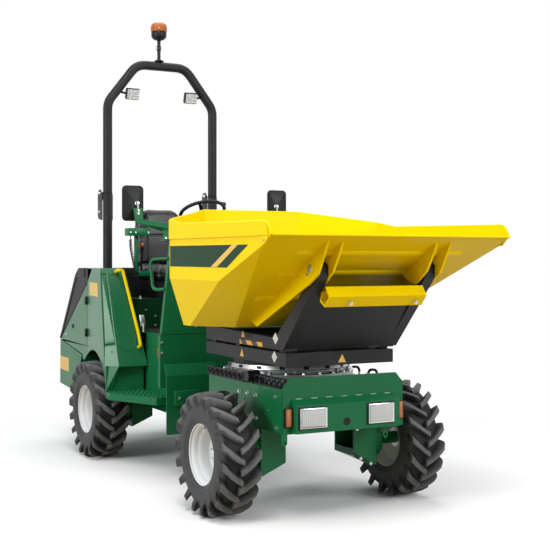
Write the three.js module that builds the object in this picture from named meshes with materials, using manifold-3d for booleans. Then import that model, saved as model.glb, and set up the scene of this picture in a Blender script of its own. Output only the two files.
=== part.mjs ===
// A site dumper: an articulated, battery-electric dumper with a skip that tips and swivels.
// Millimetres, +Z up, +X forwards, +Y to the machine's left. While it is built, x counts from the
// front axle; the finished group moves so that the origin is the middle of the footprint, on the ground.
import * as THREE from "three";
import { mergeVertices } from "three/addons/utils/BufferGeometryUtils.js";
import Module from "manifold-3d";

const wasm = await Module();
wasm.setup();

// ---------------------------------------------------------------- driving dimensions
const gap = 0.3; // between pieces that touch
const run = 8; // between pieces that move past each other
const bearing = 0.6; // radial play at a pin, a shaft or a slewing ring
const sheet = 5; // folded panels
const plate = 12; // frame plates

const wheelbase = 2108;
const trackHalf = 621; // middle of a tyre
const tyreR = 355;
const tyreWidth = 247;
const rimR = 178; // bead seat and flange
const spindleR = 36;

const chassisHalf = 398; // front frame, over its side plates
const chassisFront = 385;
const chassisRear = -600;
const chassisTop = 745;
const chassisBottom = 497;
const legInner = 233; // the boxes that carry the wheel motors
const legOuter = 395;
const legHalf = 113;

const slewX = -290; // swivel axis of the skip
const ringR = 408;
const ringHeight = 40;
const carriageRear = -735;
const carriageFront = 345;
const carriageHalf = 357;
const carriageBottom = 864;
const carriageDepth = 77;
const cradleBottom = 955;
const cradleRail = 62; // height of the cradle's rails

const pivotX = 692; // tipping axis of the skip
const pivotZ = 1418;
const pivotR = 22;
const earInner = 342; // the cradle's ears, between the skip's lugs
const earOuter = 378;
const lugPlate = 14;

const skipHalf = 750;
const skipWall = 6;
const skipLipX = 922;
const skipLipZ = 1590;
const skipCornerX = -390; // where the side walls end and the rear chamfers begin
const skipRearX = -790;
const skipRearHalf = 350;
const skipFoldZ = 1349; // below this the walls lean in
const skipFloorZ = 1068;
const skipFloorFront = -64; // where the floor turns up towards the lip
const skipFloorHalf = 650;
const facetFoot = [-20, 487]; // lowest corner of each sloping facet, on the rising floor
const facetFoldX = 306; // where a facet meets the side wall's fold
const facetTop = [849, 1548]; // where it meets the slope and the side wall

const hingeX = -850; // articulation axis
const oscillationZ = 430; // axis about which the two units roll

const bodyHalf = 640; // rear side panels
const hoodTop = 1398;
const hoodRear = -3024;
const floorZ = 940;
const stepZ = 520;
const towerX = -1180; // front of the dash tower

const ropsX = -2400;
const ropsHalf = 447;
const ropsTube = 36; // tube radius
const ropsFoldZ = 1980;
const ropsTopZ = 3001;
const ropsShoulderZ = 2687; // where each post turns in
const ropsTopHalf = 205;
const ropsBend = 150;

// ---------------------------------------------------------------- small tools
function solidOf(geometry) {
  const g = geometry.index ? geometry.toNonIndexed() : geometry.clone();
  for (const name of Object.keys(g.attributes)) if (name !== "position") g.deleteAttribute(name);
  const m = mergeVertices(g, 1e-3);
  const vertProperties = new Float32Array(m.attributes.position.array);
  return new wasm.Manifold(new wasm.Mesh({ numProp: 3, vertProperties,
    triVerts: new Uint32Array(m.index.array) }));
}
function geometryOf(solid) {
  const m = solid.getMesh();
  const position = new Float32Array((m.vertProperties.length / m.numProp) * 3);
  for (let i = 0; i < position.length / 3; i += 1)
    for (let k = 0; k < 3; k += 1) position[3 * i + k] = m.vertProperties[m.numProp * i + k];
  const g = new THREE.BufferGeometry().setAttribute("position", new THREE.BufferAttribute(position, 3));
  g.setIndex(new THREE.BufferAttribute(new Uint32Array(m.triVerts), 1));
  return g;
}
const join = (...parts) => geometryOf(parts.map(solidOf).reduce((a, b) => a.add(b)));
const cut = (from, ...tools) => geometryOf(tools.map(solidOf).reduce((a, b) => a.subtract(b),
  solidOf(from)));

function box(x0, x1, y0, y1, z0, z1) {
  return new THREE.BoxGeometry(x1 - x0, y1 - y0, z1 - z0).translate((x0 + x1) / 2, (y0 + y1) / 2,
    (z0 + z1) / 2);
}
const outline = (points) => new THREE.Shape(points.map(([a, b]) => new THREE.Vector2(a, b)));
// Points are [x, z]; the prism runs from y0 to y1.
function prismY(points, y0, y1) {
  const g = new THREE.ExtrudeGeometry(outline(points), { depth: y1 - y0, bevelEnabled: false });
  return g.rotateX(Math.PI / 2).translate(0, y1, 0);
}
// Points are [x, y]; the prism runs from z0 to z1.
function prismZ(points, z0, z1) {
  return new THREE.ExtrudeGeometry(outline(points), { depth: z1 - z0, bevelEnabled: false }).translate(0, 0,
    z0);
}
// Points are [y, z]; the prism runs from x0 to x1.
function prismX(points, x0, x1) {
  const g = new THREE.ExtrudeGeometry(outline(points), { depth: x1 - x0, bevelEnabled: false });
  return g.rotateX(Math.PI / 2).rotateZ(Math.PI / 2).translate(x0, 0, 0);
}
// A round bar between two points.
function bar(from, to, r, sides = 24) {
  const a = new THREE.Vector3(...from);
  const b = new THREE.Vector3(...to);
  const g = new THREE.CylinderGeometry(r, r, a.distanceTo(b), sides);
  const turn = new THREE.Quaternion().setFromUnitVectors(new THREE.Vector3(0, 1, 0),
    b.clone().sub(a).normalize());
  const middle = a.add(b).multiplyScalar(0.5);
  return g.applyQuaternion(turn).translate(middle.x, middle.y, middle.z);
}
// A round tube along points with its corners bent to radius bend.
function tube(points, r, bend, sides = 12, arcSteps = 5) {
  const p = points.map((q) => new THREE.Vector3(...q));
  const path = new THREE.CurvePath();
  let from = p[0];
  const line = (a, b) => a.distanceTo(b) > 1 && path.add(new THREE.LineCurve3(a.clone(), b.clone()));
  const stops = [p[0].clone()];
  for (let i = 1; i < p.length - 1; i += 1) {
    const back = p[i - 1].clone().sub(p[i]).normalize();
    const on = p[i + 1].clone().sub(p[i]).normalize();
    const t = bend / Math.tan(back.angleTo(on) / 2);
    const a = p[i].clone().addScaledVector(back, t);
    const b = p[i].clone().addScaledVector(on, t);
    line(from, a);
    const arc = new THREE.QuadraticBezierCurve3(a, p[i], b);
    for (let k = 0; k <= arcSteps; k += 1) stops.push(arc.getPoint(k / arcSteps));
    from = b;
  }
  stops.push(p[p.length - 1].clone());
  const rings = stops.map((s, i) => {
    const before = stops[Math.max(i - 1, 0)];
    const after = stops[Math.min(i + 1, stops.length - 1)];
    return { s, d: after.clone().sub(before).normalize() };
  });
  let normal = new THREE.Vector3(0, 0, 1).cross(rings[0].d);
  if (normal.length() < 0.1) normal = new THREE.Vector3(0, 1, 0).cross(rings[0].d);
  normal.normalize();
  const position = [];
  rings.forEach(({ s, d }) => {
    normal = normal.addScaledVector(d, -normal.dot(d)).normalize();
    const side = d.clone().cross(normal);
    for (let k = 0; k < sides; k += 1) {
      const t = (2 * Math.PI * k) / sides;
      const v = s.clone().addScaledVector(normal, r * Math.cos(t)).addScaledVector(side, r * Math.sin(t));
      position.push(v.x, v.y, v.z);
    }
  });
  const index = [];
  const n = rings.length;
  for (let i = 0; i < n - 1; i += 1)
    for (let k = 0; k < sides; k += 1) {
      const a = i * sides + k;
      const b = i * sides + ((k + 1) % sides);
      index.push(a, b, b + sides, a, b + sides, a + sides);
    }
  for (let k = 1; k < sides - 1; k += 1) {
    index.push(0, k + 1, k);
    index.push((n - 1) * sides, (n - 1) * sides + k, (n - 1) * sides + k + 1);
  }
  const g = new THREE.BufferGeometry().setAttribute("position",
    new THREE.Float32BufferAttribute(position, 3));
  g.setIndex(index);
  return g;
}
// A ring about the y axis through (x, z): points are [radius, y].
function latheY(points, x, z, sides = 32) {
  const g = new THREE.LatheGeometry(points.map(([r, y]) => new THREE.Vector2(r, y)), sides);
  return g.translate(x, 0, z);
}
// A ring about a vertical axis: points are [radius, z].
function latheZ(points, x, y, sides = 32) {
  const g = new THREE.LatheGeometry(points.map(([r, z]) => new THREE.Vector2(r, z)), sides);
  return g.rotateX(Math.PI / 2).translate(x, y, 0);
}
// The convex solid between two horizontal outlines of the same number of corners.
function frustum(low, zLow, high, zHigh) {
  const n = low.length;
  const z = (v, i) => (Array.isArray(v) ? v[i] : v);
  const position = [];
  low.forEach(([x, y], i) => position.push(x, y, z(zLow, i)));
  high.forEach(([x, y], i) => position.push(x, y, z(zHigh, i)));
  const index = [];
  for (let i = 0; i < n; i += 1) {
    const j = (i + 1) % n;
    index.push(i, j, n + j, i, n + j, n + i);
  }
  for (let i = 1; i < n - 1; i += 1) index.push(0, i + 1, i, n, n + i, n + i + 1);
  const g = new THREE.BufferGeometry().setAttribute("position",
    new THREE.Float32BufferAttribute(position, 3));
  g.setIndex(index);
  return g;
}
function mirrored(geometry) {
  const g = (geometry.index ? geometry.toNonIndexed() : geometry.clone()).scale(1, -1, 1);
  const p = g.attributes.position;
  const v = new THREE.Vector3();
  const w = new THREE.Vector3();
  for (let i = 0; i < p.count; i += 3) {
    v.fromBufferAttribute(p, i + 1);
    w.fromBufferAttribute(p, i + 2);
    p.setXYZ(i + 1, w.x, w.y, w.z);
    p.setXYZ(i + 2, v.x, v.y, v.z);
  }
  return g;
}

const paint = {
  green: ["#1f6b40", 0.35, 0.3],
  darkGreen: ["#17402a", 0.5, 0.2],
  yellow: ["#e6c51a", 0.4, 0.1],
  black: ["#2a2b2d", 0.6, 0.2],
  plastic: ["#232427", 0.7, 0],
  steel: ["#b8babd", 0.35, 0.9],
  rim: ["#e2e4e6", 0.4, 0.3],
  tyre: ["#2c2d2e", 0.9, 0],
  vinyl: ["#1c1c1e", 0.75, 0],
  amber: ["#e98a12", 0.3, 0],
  lens: ["#e9eef0", 0.2, 0],
};
const machine = new THREE.Group();
const placed = new THREE.Group();
machine.add(placed);
function add(name, geometry, look) {
  const [color, roughness, metalness] = paint[look];
  const g = geometry.clone();
  g.computeVertexNormals();
  const mesh = new THREE.Mesh(g, new THREE.MeshStandardMaterial({ color, roughness, metalness }));
  mesh.name = name;
  placed.add(mesh);
}
function addPair(name, right, look) {
  add(`${name}_right`, right, look);
  add(`${name}_left`, mirrored(right), look);
}

// ---------------------------------------------------------------- wheels
const rearX = -wheelbase;
const tyreSides = 32;
function tyreAt(x) {
  const h = tyreWidth / 2;
  const half = [
    [rimR, -h * 0.7], [rimR + 25, -h * 0.86], [rimR + 90, -h], [tyreR - 55, -h * 0.97],
    [tyreR - 14, -h * 0.86], [tyreR, -h * 0.62],
  ];
  const profile = [...half, ...half.map(([r, y]) => [r, -y]).reverse(), half[0]];
  return latheY(profile, x, tyreR, tyreSides).translate(0, -trackHalf, 0);
}
const hubIn = legOuter + run + 40; // outer end of the wheel motor's housing
function rimAt(x) {
  const h = (tyreWidth / 2) * 0.7;
  const seat = rimR * Math.cos(Math.PI / tyreSides) - gap;
  const face = -h * 0.25; // the disc, seen from outside
  const profile = [
    [seat, -h + 1], [seat, h - 1], [seat - 10, h - 1], [seat - 14, face + 30], [seat - 60, face + 22],
    [spindleR + 30, face + 22], [spindleR + bearing + 0.2, face + 22],
      [spindleR + bearing + 0.2, face - 20],
    [spindleR + 40, face - 20], [spindleR + 46, face + 2], [seat - 50, face + 6], [seat - 26, face + 12],
    [seat - 16, -h + 1], [seat, -h + 1],
  ];
  return latheY(profile, x, tyreR, 24).translate(0, -trackHalf, 0);
}
for (const [name, x] of [["front", 0], ["rear", rearX]]) {
  addPair(`tyre_${name}`, tyreAt(x), "tyre");
  addPair(`rim_${name}`, rimAt(x), "rim");
}
// The box under a frame that carries one wheel motor, with the motor and its spindle.
function legAt(x, top) {
  const inner = 285;
  const outer = 215;
  const shell = prismX(
    [[-legOuter, top], [-legOuter, outer], [-legInner, inner], [-legInner, top]], x - legHalf, x + legHalf,
  );
  const w = plate;
  const hollow = prismX(
    [[-legOuter + w, top - w], [-legOuter + w, outer + w + 8], [-legInner - w, inner + w],
      [-legInner - w, top - w]],
    x - legHalf + w, x + legHalf - w,
  );
  const mouth = box(x - legHalf + w, x + legHalf - w, -legInner - w, -legInner + 1, inner + 40, top - 40);
  const motor = bar([x, -legOuter + 4, tyreR], [x, -hubIn, tyreR], 105);
  const spindle = bar([x, -hubIn + 1, tyreR], [x, -trackHalf - 15, tyreR], spindleR);
  return join(cut(shell, hollow, mouth), motor, spindle);
}

// ---------------------------------------------------------------- front frame
const plateInner = chassisHalf - plate;
const side = box(chassisRear, chassisFront - plate, -chassisHalf, -plateInner, chassisBottom, chassisTop);
const deck = box(chassisRear, chassisFront - plate, -plateInner - 1, plateInner + 1, chassisTop - plate,
  chassisTop);
const nose = prismX(
  [[-chassisHalf, chassisBottom], [chassisHalf, chassisBottom], [chassisHalf, 752], [350, 807], [-350, 807],
    [-chassisHalf, 752]],
  chassisFront - plate - 1, chassisFront,
);
const rearWall = box(chassisRear, chassisRear + 20, -plateInner - 1, plateInner + 1, 330, chassisTop - 1);
const bulkhead = box(-30, -18, -plateInner - 1, plateInner + 1, chassisBottom, chassisTop - 1);
const trunnionR = 70;
const trunnion = bar([chassisRear + 1, 0, oscillationZ], [chassisRear + 150, 0, oscillationZ], trunnionR);
const trunnionBore = bar([chassisRear - 5, 0, oscillationZ], [chassisRear + 160, 0, oscillationZ], 46);
const lug = (y) =>
  cut(
    prismX([[y - 17, chassisBottom + 2], [y - 17, 445], [y, 425], [y + 17, 445],
      [y + 17, chassisBottom + 2]],
      chassisFront - plate, chassisFront),
    bar([chassisFront - 30, y, 452], [chassisFront + 10, y, 452], 9, 12),
  );
const legFront = legAt(0, chassisBottom + 6);
add(
  "front_frame",
  cut(
    join(side, mirrored(side), deck, nose, rearWall, bulkhead, trunnion, lug(-388), lug(278), legFront,
      mirrored(legFront)),
    trunnionBore,
    bar([slewX, 0, chassisTop - 40], [slewX, 0, chassisTop + 5], 180, 24),
  ),
  "green",
);

const barHalf = 344;
const barFront = chassisFront + 50;
add(
  "light_bar",
  prismY(
    [[chassisFront + gap, 503], [barFront, 503], [barFront, 657], [chassisFront + gap, 690]], -barHalf,
      barHalf,
  ),
  "green",
);
add("headlight_right", box(barFront + gap, barFront + 14, -331, -144, 524, 650), "lens");
add("headlight_left", box(barFront + gap, barFront + 14, 116, 303, 524, 650), "lens");
addPair("indicator", box(chassisFront + gap, chassisFront + 26, -392, -347, 537, 645), "amber");

// ---------------------------------------------------------------- slewing ring and what turns on it
const ringTop = chassisTop + gap + ringHeight;
add(
  "slew_ring",
  latheZ(
    [[ringR - 110, chassisTop + gap], [ringR, chassisTop + gap], [ringR, ringTop], [ringR - 110, ringTop],
      [ringR - 110, chassisTop + gap]], slewX, 0, 48),
  "steel",
);
add("slew_motor", join(bar([-18, -425, 785], [-18, -345, 785], 32),
  box(-38, 2, -395, -350, chassisTop + gap, 770)), "black");
add("cable_chain", box(30, 368, -chassisHalf, -chassisHalf + 44, chassisTop + gap, chassisTop + 45),
  "plastic");

const carriageTop = carriageBottom + carriageDepth;
const turnBase = ringTop + bearing;
const pedestal = bar([slewX, 0, turnBase], [slewX, 0, carriageBottom + 1], ringR - 60, 32);
const pedestalBore = bar([slewX, 0, turnBase - 5], [slewX, 0, carriageTop + 5], 150, 24);
const carriageBody = cut(
  box(carriageRear, carriageFront, -carriageHalf, carriageHalf, carriageBottom, carriageTop),
  box(carriageRear + 60, slewX - 260, -carriageHalf + 90, carriageHalf - 90, carriageBottom - 5,
    carriageTop + 5),
  box(slewX + 260, carriageFront - 60, -carriageHalf + 90, carriageHalf - 90, carriageBottom - 5,
    carriageTop + 5),
);
const pads = [-1, 1].flatMap((s) =>
  [carriageRear + 90, slewX, carriageFront - 70].map((x) =>
    box(x - 30, x + 30, s * (carriageHalf - 38) - 25, s * (carriageHalf - 38) + 25, carriageTop - 1,
      cradleBottom - gap)),
);
add("carriage_frame", cut(join(carriageBody, pedestal, ...pads), pedestalBore), "black");

// The cradle: two rails, cross members, a leaning front wall and an ear on each side.
const railTop = cradleBottom + cradleRail;
const railRear = prismY(
  [[carriageRear, cradleBottom], [carriageFront, cradleBottom], [carriageFront + 20, railTop],
    [carriageRear, railTop + 25]],
  -carriageHalf, -carriageHalf + 45,
);
const earFoot = 180;
const ear = prismY(
  [[earFoot, cradleBottom + 5], [carriageFront, cradleBottom + 5], [pivotX + 30, pivotZ - 60],
    [pivotX + 34, pivotZ + 14],
    [pivotX + 4, pivotZ + 34], [pivotX - 34, pivotZ + 12], [pivotX - 70, pivotZ - 75]],
  -earOuter, -earInner + 30,
);
const frontWall = prismY(
  [[carriageFront - 14, cradleBottom], [carriageFront, cradleBottom], [640, 1290], [624, 1296]], -315, 315,
);
const wallFoot = prismY(
  [[carriageFront - 60, cradleBottom], [carriageFront, cradleBottom], [carriageFront + 55, railTop],
    [carriageFront - 30, railTop]], -carriageHalf, carriageHalf,
);
const rearBeam = box(carriageRear, carriageRear + 60, -carriageHalf, carriageHalf, cradleBottom, railTop);
const cylinderFootX = 402;
const cylinderFootZ = 1095;
const footPlate = prismY(
  [[280, railTop - 10], [390, railTop - 10], [cylinderFootX + 40, cylinderFootZ + 12],
    [cylinderFootX, cylinderFootZ + 34],
    [cylinderFootX - 34, cylinderFootZ + 10]], 40, 54,
);
const earPinBore = bar([pivotX, -earOuter - 5, pivotZ], [pivotX, -earInner + 40, pivotZ], pivotR + bearing,
  24);
const footBore = bar([cylinderFootX, -70, cylinderFootZ], [cylinderFootX, 70, cylinderFootZ], 16, 16);
add(
  "skip_cradle",
  cut(
    join(railRear, mirrored(railRear), ear, mirrored(ear), frontWall, wallFoot, rearBeam, footPlate,
      mirrored(footPlate)),
    earPinBore, mirrored(earPinBore), footBore,
  ),
  "black",
);
const beamHalf = 312;
const beamLug = (y) => prismY([[583.4, 1225], [640, 1225], [656, 1247], [668, 1288], [638.6, 1288]], y - 8,
  y + 8);
add(
  "guard_beam",
  join(beamLug(-200), beamLug(200), prismY([[641, 1240], [690, 1212], [742, 1268], [702, 1322], [694, 1316],
    [732, 1268], [690, 1224], [650, 1248],
    [663, 1290], [655, 1294]],
    -beamHalf, beamHalf)),
  "yellow",
);

// ---------------------------------------------------------------- tipping cylinder
const eyeX = -150; // the rod's eye, on the skip's rear bracket
const eyeZ = 985;
const foot = new THREE.Vector3(cylinderFootX, 0, cylinderFootZ);
const eye = new THREE.Vector3(eyeX, 0, eyeZ);
const stroke = eye.clone().sub(foot);
const closed = stroke.length();
stroke.normalize();
const along = (t) => foot.clone().addScaledVector(stroke, t).toArray();
const barrelEnd = closed - 62;
add(
  "tip_cylinder_barrel",
  cut(
    join(bar(along(36), along(barrelEnd), 32), box(cylinderFootX - 24, cylinderFootX + 24, -30, 30,
      cylinderFootZ - 22,
      cylinderFootZ + 22), bar(along(10), along(40), 30),
    bar([cylinderFootX, -66, cylinderFootZ], [cylinderFootX, 66, cylinderFootZ], 15.4, 16)),
    bar(along(60), along(barrelEnd + 5), 20.6),
  ),
  "black",
);
add(
  "tip_cylinder_rod",
  cut(
    join(bar(along(80), along(closed - 20), 20), bar([eyeX, -28, eyeZ], [eyeX, 28, eyeZ], 34)),
    bar([eyeX, -40, eyeZ], [eyeX, 40, eyeZ], 18),
  ),
  "steel",
);

// ---------------------------------------------------------------- skip
const rimCornerZ = 1702;
const rimDropX = -205; // the rim drops from the corner to here
const rimSideZ = 1672;
const rimRearZ = 1782;
const rimFrontZ = 1656;
const plan = (w) => [
  [skipRearX + w, skipRearHalf - 0.4 * w], [skipRearX + w, -skipRearHalf + 0.4 * w],
  [skipCornerX + 0.4 * w, -skipHalf + w], [rimDropX, -skipHalf + w], [skipLipX - 60, -skipHalf + w],
  [skipLipX - 60, skipHalf - w], [rimDropX, skipHalf - w], [skipCornerX + 0.4 * w, skipHalf - w],
];
const floorPlan = (w) => [
  [-640 + w, 250], [-640 + w, -250], [-416, -skipFloorHalf + w], [700, -skipFloorHalf + w],
  [700, skipFloorHalf - w], [-416, skipFloorHalf - w],
];
const foldPlan = (w) => [
  [skipRearX + w, skipRearHalf], [skipRearX + w, -skipRearHalf], [skipCornerX, -skipHalf + w],
  [700, -skipHalf + w], [700, skipHalf - w], [skipCornerX, skipHalf - w],
];
const rimZ = [rimRearZ, rimRearZ, rimCornerZ, rimSideZ, rimFrontZ, rimFrontZ, rimSideZ, rimCornerZ];
const shell = (w) => join(
  frustum(floorPlan(w), skipFloorZ + w, foldPlan(w), skipFoldZ + (w ? 2 : 0)),
  frustum(plan(w), skipFoldZ - 1, plan(w), rimZ.map((z) => z + 6 * w)),
);
// The floor rises to the lip, with a sloping facet on each side: all that lies beyond is cut away.
const slopeAt = (x) => skipFloorZ + ((x - skipFloorFront) * (skipLipZ - skipFloorZ)) / (skipLipX - skipFloorFront);
const under = (w) => prismY(
  [[skipFloorFront - 0.25 * w, skipFloorZ - 40], [skipLipX + 60, skipFloorZ - 40],
    [skipLipX + 60, slopeAt(skipLipX + 60) + w], [skipFloorFront - 0.25 * w, skipFloorZ + w]],
  -skipHalf - 10, skipHalf + 10,
);
function facet(w) {
  const a = new THREE.Vector3(facetTop[0], -skipHalf, facetTop[1]);
  const b = new THREE.Vector3(facetFoldX, -skipHalf, skipFoldZ);
  const c = new THREE.Vector3(facetFoot[0], -facetFoot[1], slopeAt(facetFoot[0]));
  const normal = b.clone().sub(a).cross(c.clone().sub(b)).normalize();
  const turn = new THREE.Quaternion().setFromUnitVectors(new THREE.Vector3(0, 0, 1), normal);
  const at = b.clone().addScaledVector(normal, 500 - w);
  return new THREE.BoxGeometry(3000, 3000, 1000).applyQuaternion(turn).translate(at.x, at.y, at.z);
}
const bowl = cut(shell(0), under(0), facet(0), mirrored(facet(0)));
const hollow = cut(shell(skipWall), under(skipWall * 1.1), facet(skipWall), mirrored(facet(skipWall)));
// The lip runs forward of the side walls as one plate.
const lip = prismY(
  [[skipLipX - 90, slopeAt(skipLipX - 90)], [skipLipX, skipLipZ], [skipLipX, skipLipZ + 8],
    [skipLipX - 90, slopeAt(skipLipX - 90) + 8]], -skipHalf, skipHalf,
);
const cheek = prismY(
  [[skipLipX - 75, slopeAt(skipLipX - 75)], [skipLipX, skipLipZ], [skipLipX - 8, skipLipZ + 18],
    [skipLipX - 48, rimFrontZ],
    [skipLipX - 75, rimFrontZ]], -skipHalf, -skipHalf + skipWall,
);
// A rolled band stiffens the rim outside the walls.
const lugOf = (y0, y1) => prismY(
  [[-8, slopeAt(-8) + 2], [66, 1078], [400, 1218], [628, 1316], [672, 1334],
    [762, 1388], [838, slopeAt(838) - 30], [866, slopeAt(866) + 2]],
  y0, y1,
);
const lugGap = 5.2;
const inner = [-(earInner - 30) + lugGap, -(earInner - 30) + lugGap + lugPlate];
const outer = [-earOuter - lugGap - lugPlate, -earOuter - lugGap];
const innerLug = prismY(
  [[520, slopeAt(520) + 2], [600, 1340], [654, 1325], [672, 1334], [762, 1400], [838, slopeAt(838) - 30],
    [856, slopeAt(856) + 2]],
  inner[0], inner[1],
);
const outerLug = lugOf(outer[0], outer[1]);
const tipPin = bar([pivotX, outer[0] - 6, pivotZ], [pivotX, inner[1] + 6, pivotZ], pivotR);
const eyeBracket = prismY(
  [[eyeX - 60, skipFloorZ + 2], [eyeX + 60, skipFloorZ + 2], [eyeX + 34, eyeZ - 20], [eyeX, eyeZ - 34],
    [eyeX - 34, eyeZ - 20]],
  34, 48,
);
add(
  "skip",
  cut(
    join(cut(bowl, hollow), lip, cheek, mirrored(cheek), outerLug, mirrored(outerLug), innerLug,
      mirrored(innerLug), tipPin,
      mirrored(tipPin), eyeBracket, mirrored(eyeBracket)),
  ),
  "yellow",
);

// ---------------------------------------------------------------- centre joint
const pinR = 32;
const knuckleHalf = 150; // half the height between the two pins
const knuckle = box(hingeX - 60, hingeX + 60, -60, 60, oscillationZ - knuckleHalf,
  oscillationZ + knuckleHalf);
const shaft = bar([hingeX + 50, 0, oscillationZ], [chassisRear + 148, 0, oscillationZ], 46 - bearing - 0.4);
const collar = bar([hingeX + 50, 0, oscillationZ], [chassisRear - run, 0, oscillationZ], 80);
const armY = 176;
const armX = hingeX + 115;
const arm = prismZ([[hingeX + 20, 60], [hingeX + 60, 40], [armX + 30, armY + 10], [armX, armY + 34],
  [armX - 30, armY + 10]],
  oscillationZ - 72, oscillationZ - 44);
const knucklePin = bar([hingeX, 0, oscillationZ - knuckleHalf - 50],
  [hingeX, 0, oscillationZ + knuckleHalf + 50], pinR);
add("centre_knuckle", join(knuckle, shaft, collar, arm, knucklePin), "black");

// ---------------------------------------------------------------- rear frame
const jawOut = 40;
const jaw = (z0, z1) => cut(
  prismZ([[-1064, -130], [hingeX + 10, -75], [hingeX + 55, -40], [hingeX + 55, 40], [hingeX + 10, 75],
    [-1064, 130]], z0, z1),
  bar([hingeX, 0, z0 - 5], [hingeX, 0, z1 + 5], pinR + bearing),
);
const jawLow = jaw(oscillationZ - knuckleHalf - jawOut, oscillationZ - knuckleHalf - run / 2);
const jawHigh = jaw(oscillationZ + knuckleHalf + run / 2, oscillationZ + knuckleHalf + jawOut);
const railHalf = 330;
const rearRail = prismY([[-2880, 380], [-1061, 380], [-1061, 585], [-1500, 585], [-1560, 640],
  [-2880, 640]],
  -railHalf, -railHalf + plate);
const ramWindow = box(-1080, -1050, 68, 236, 345, 475);
const frontCross = cut(box(-1072, -1060, -railHalf, railHalf, oscillationZ - knuckleHalf - jawOut, 620),
  ramWindow);
const midCross = box(-1760, -1748, -railHalf, railHalf, 400, 640);
const rearCross = box(-2880, -2868, -railHalf, railHalf, 380, 640);
const bellyPlate = box(-2880, -1740, -railHalf, railHalf, 380, 388);
const legRear = legAt(rearX, 500);
const ramX = hingeX - 560; // foot of the steering cylinder
const ramY = 126;
const ramZ = oscillationZ - 20;
const ramCross = box(ramX - 60, ramX - 48, -railHalf, railHalf, ramZ - 34, ramZ + 60);
const ramLug = (z) => cut(
  box(ramX - 49, ramX + 18, ramY - 30, ramY + 30, ramZ + z, ramZ + z + 14),
  bar([ramX, ramY, ramZ + z - 5], [ramX, ramY, ramZ + z + 20], 15, 16),
);
const rearLegBridge = box(rearX - legHalf, rearX + legHalf, -legOuter, legOuter, 488, 500);
add(
  "rear_frame",
  join(rearRail, mirrored(rearRail), frontCross, midCross, rearCross, bellyPlate, jawLow, jawHigh, legRear,
    mirrored(legRear), rearLegBridge, ramCross, ramLug(18), ramLug(-32)),
  "green",
);

// ---------------------------------------------------------------- steering cylinder
const ramFoot = new THREE.Vector3(ramX, ramY, ramZ);
const ramEye = new THREE.Vector3(armX, armY, ramZ);
const ramDir = ramEye.clone().sub(ramFoot);
const ramClosed = ramDir.length();
ramDir.normalize();
const ramAt = (t) => ramFoot.clone().addScaledVector(ramDir, t).toArray();

const ramEnd = ramClosed - 150;
add(
  "steering_cylinder_barrel",
  cut(join(bar(ramAt(45), ramAt(ramEnd), 32), bar(ramAt(20), ramAt(50), 15),
    bar([ramX, ramY, ramZ - 16], [ramX, ramY, ramZ + 16], 30),
    bar([ramX, ramY, ramZ - 40], [ramX, ramY, ramZ + 40], 14.4, 16)),
      bar(ramAt(60), ramAt(ramEnd + 5), 18.6)),
  "black",
);
add(
  "steering_cylinder_rod",
  cut(join(bar(ramAt(185), ramAt(ramClosed - 20), 18), bar([armX, armY, ramZ - 13], [armX, armY, ramZ + 13],
    30)),
    bar([armX, armY, ramZ - 20], [armX, armY, ramZ + 20], 15)),
  "steel",
);

// ---------------------------------------------------------------- rear body
add("battery_block", box(-2845, -2455, -300, 300, 388 + gap, 1000), "black");

const massSide = prismY(
  [[-3020, 455], [-2700, 432], [-2490, 432], [-2490, 640], [-2448, 727], [-2900, 795], [-3012, 812]],
  -bodyHalf, -railHalf - gap,
);
const massRear = box(-3019, -2890, -railHalf - 2, railHalf + 2, 455, 795);
add("counterweight", join(massSide, mirrored(massSide), massRear), "green");

// Side panel: skin with the wheel arch, fender box, step well. All in x-z outlines cut from a plan strip.
const flareX = -2300;
const fenderFoot = -1690; // front of the fender at its lower edge
const fenderTop = -1905;
const fenderZ = 702;
const hoodEdge = -2160;
const doorHingeX = -2312;
const doorLow = 806;
const edgeZ = (x) => hoodTop - 6 + ((x - hoodEdge) * (hoodTop - 6 - 815)) / (hoodEdge + 3010);
const planStrip = (t) => [
  [-3100, -bodyHalf - t], [flareX, -bodyHalf - t], [-1764, -690 - t], [fenderFoot, -697 - t],
];
const strip = [...planStrip(0), ...planStrip(-sheet).reverse()];
const skinOutline = prismY(
  [[-3010, edgeZ(-3010)], [-3005, 818], [-2425, 733], [-2420, 702], [-1795, 500], [-1745, 518],
    [-1764, fenderZ],
    [fenderTop, hoodTop], [hoodEdge, hoodTop], [hoodEdge, edgeZ(hoodEdge)]],
  -760, -560,
);
const archR = 440;
const arch = bar([rearX, -800, tyreR - 5], [rearX, -400, tyreR - 5], archR, 40);
const meet = (a, b) => geometryOf(solidOf(a).intersect(solidOf(b)));
const skin = cut(meet(prismZ(strip, 400, 1500), skinOutline), arch,
  prismY([[doorHingeX + 3, doorLow - 4], [doorHingeX + 3, 1500], [-3200, 1500], [-3200, doorLow - 4]], -760,
    -560));
const fenderInner = 388;
const fenderFront = (y0, y1) => prismY(
  [[fenderFoot, fenderZ], [fenderTop, hoodTop], [fenderTop - sheet, hoodTop],
    [fenderFoot - sheet, fenderZ]], y0, y1,
);
const frontSheet = meet(
  fenderFront(-760, -fenderInner),
  prismX([[-fenderInner, fenderZ - 5], [-fenderInner - 115, hoodTop + 5], [-627, hoodTop + 5],
    [-608, fenderZ - 5]],
    -2000, -1600),
);
const topSheet = prismZ(
  [[doorHingeX + 10, -bodyHalf], [flareX, -bodyHalf], [fenderTop, -677], [fenderTop, -fenderInner - 115],
    [doorHingeX + 10, -fenderInner - 115]],
  hoodTop - sheet, hoodTop,
);
const frontClip = prismY([[fenderFoot + 0.1, 400], [fenderFoot + 0.1, fenderZ],
  [fenderTop + 0.1, hoodTop + 0.1], [fenderTop + 0.1, 1600],
  [-1500, 1600], [-1500, 400]], -800, -300);
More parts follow.
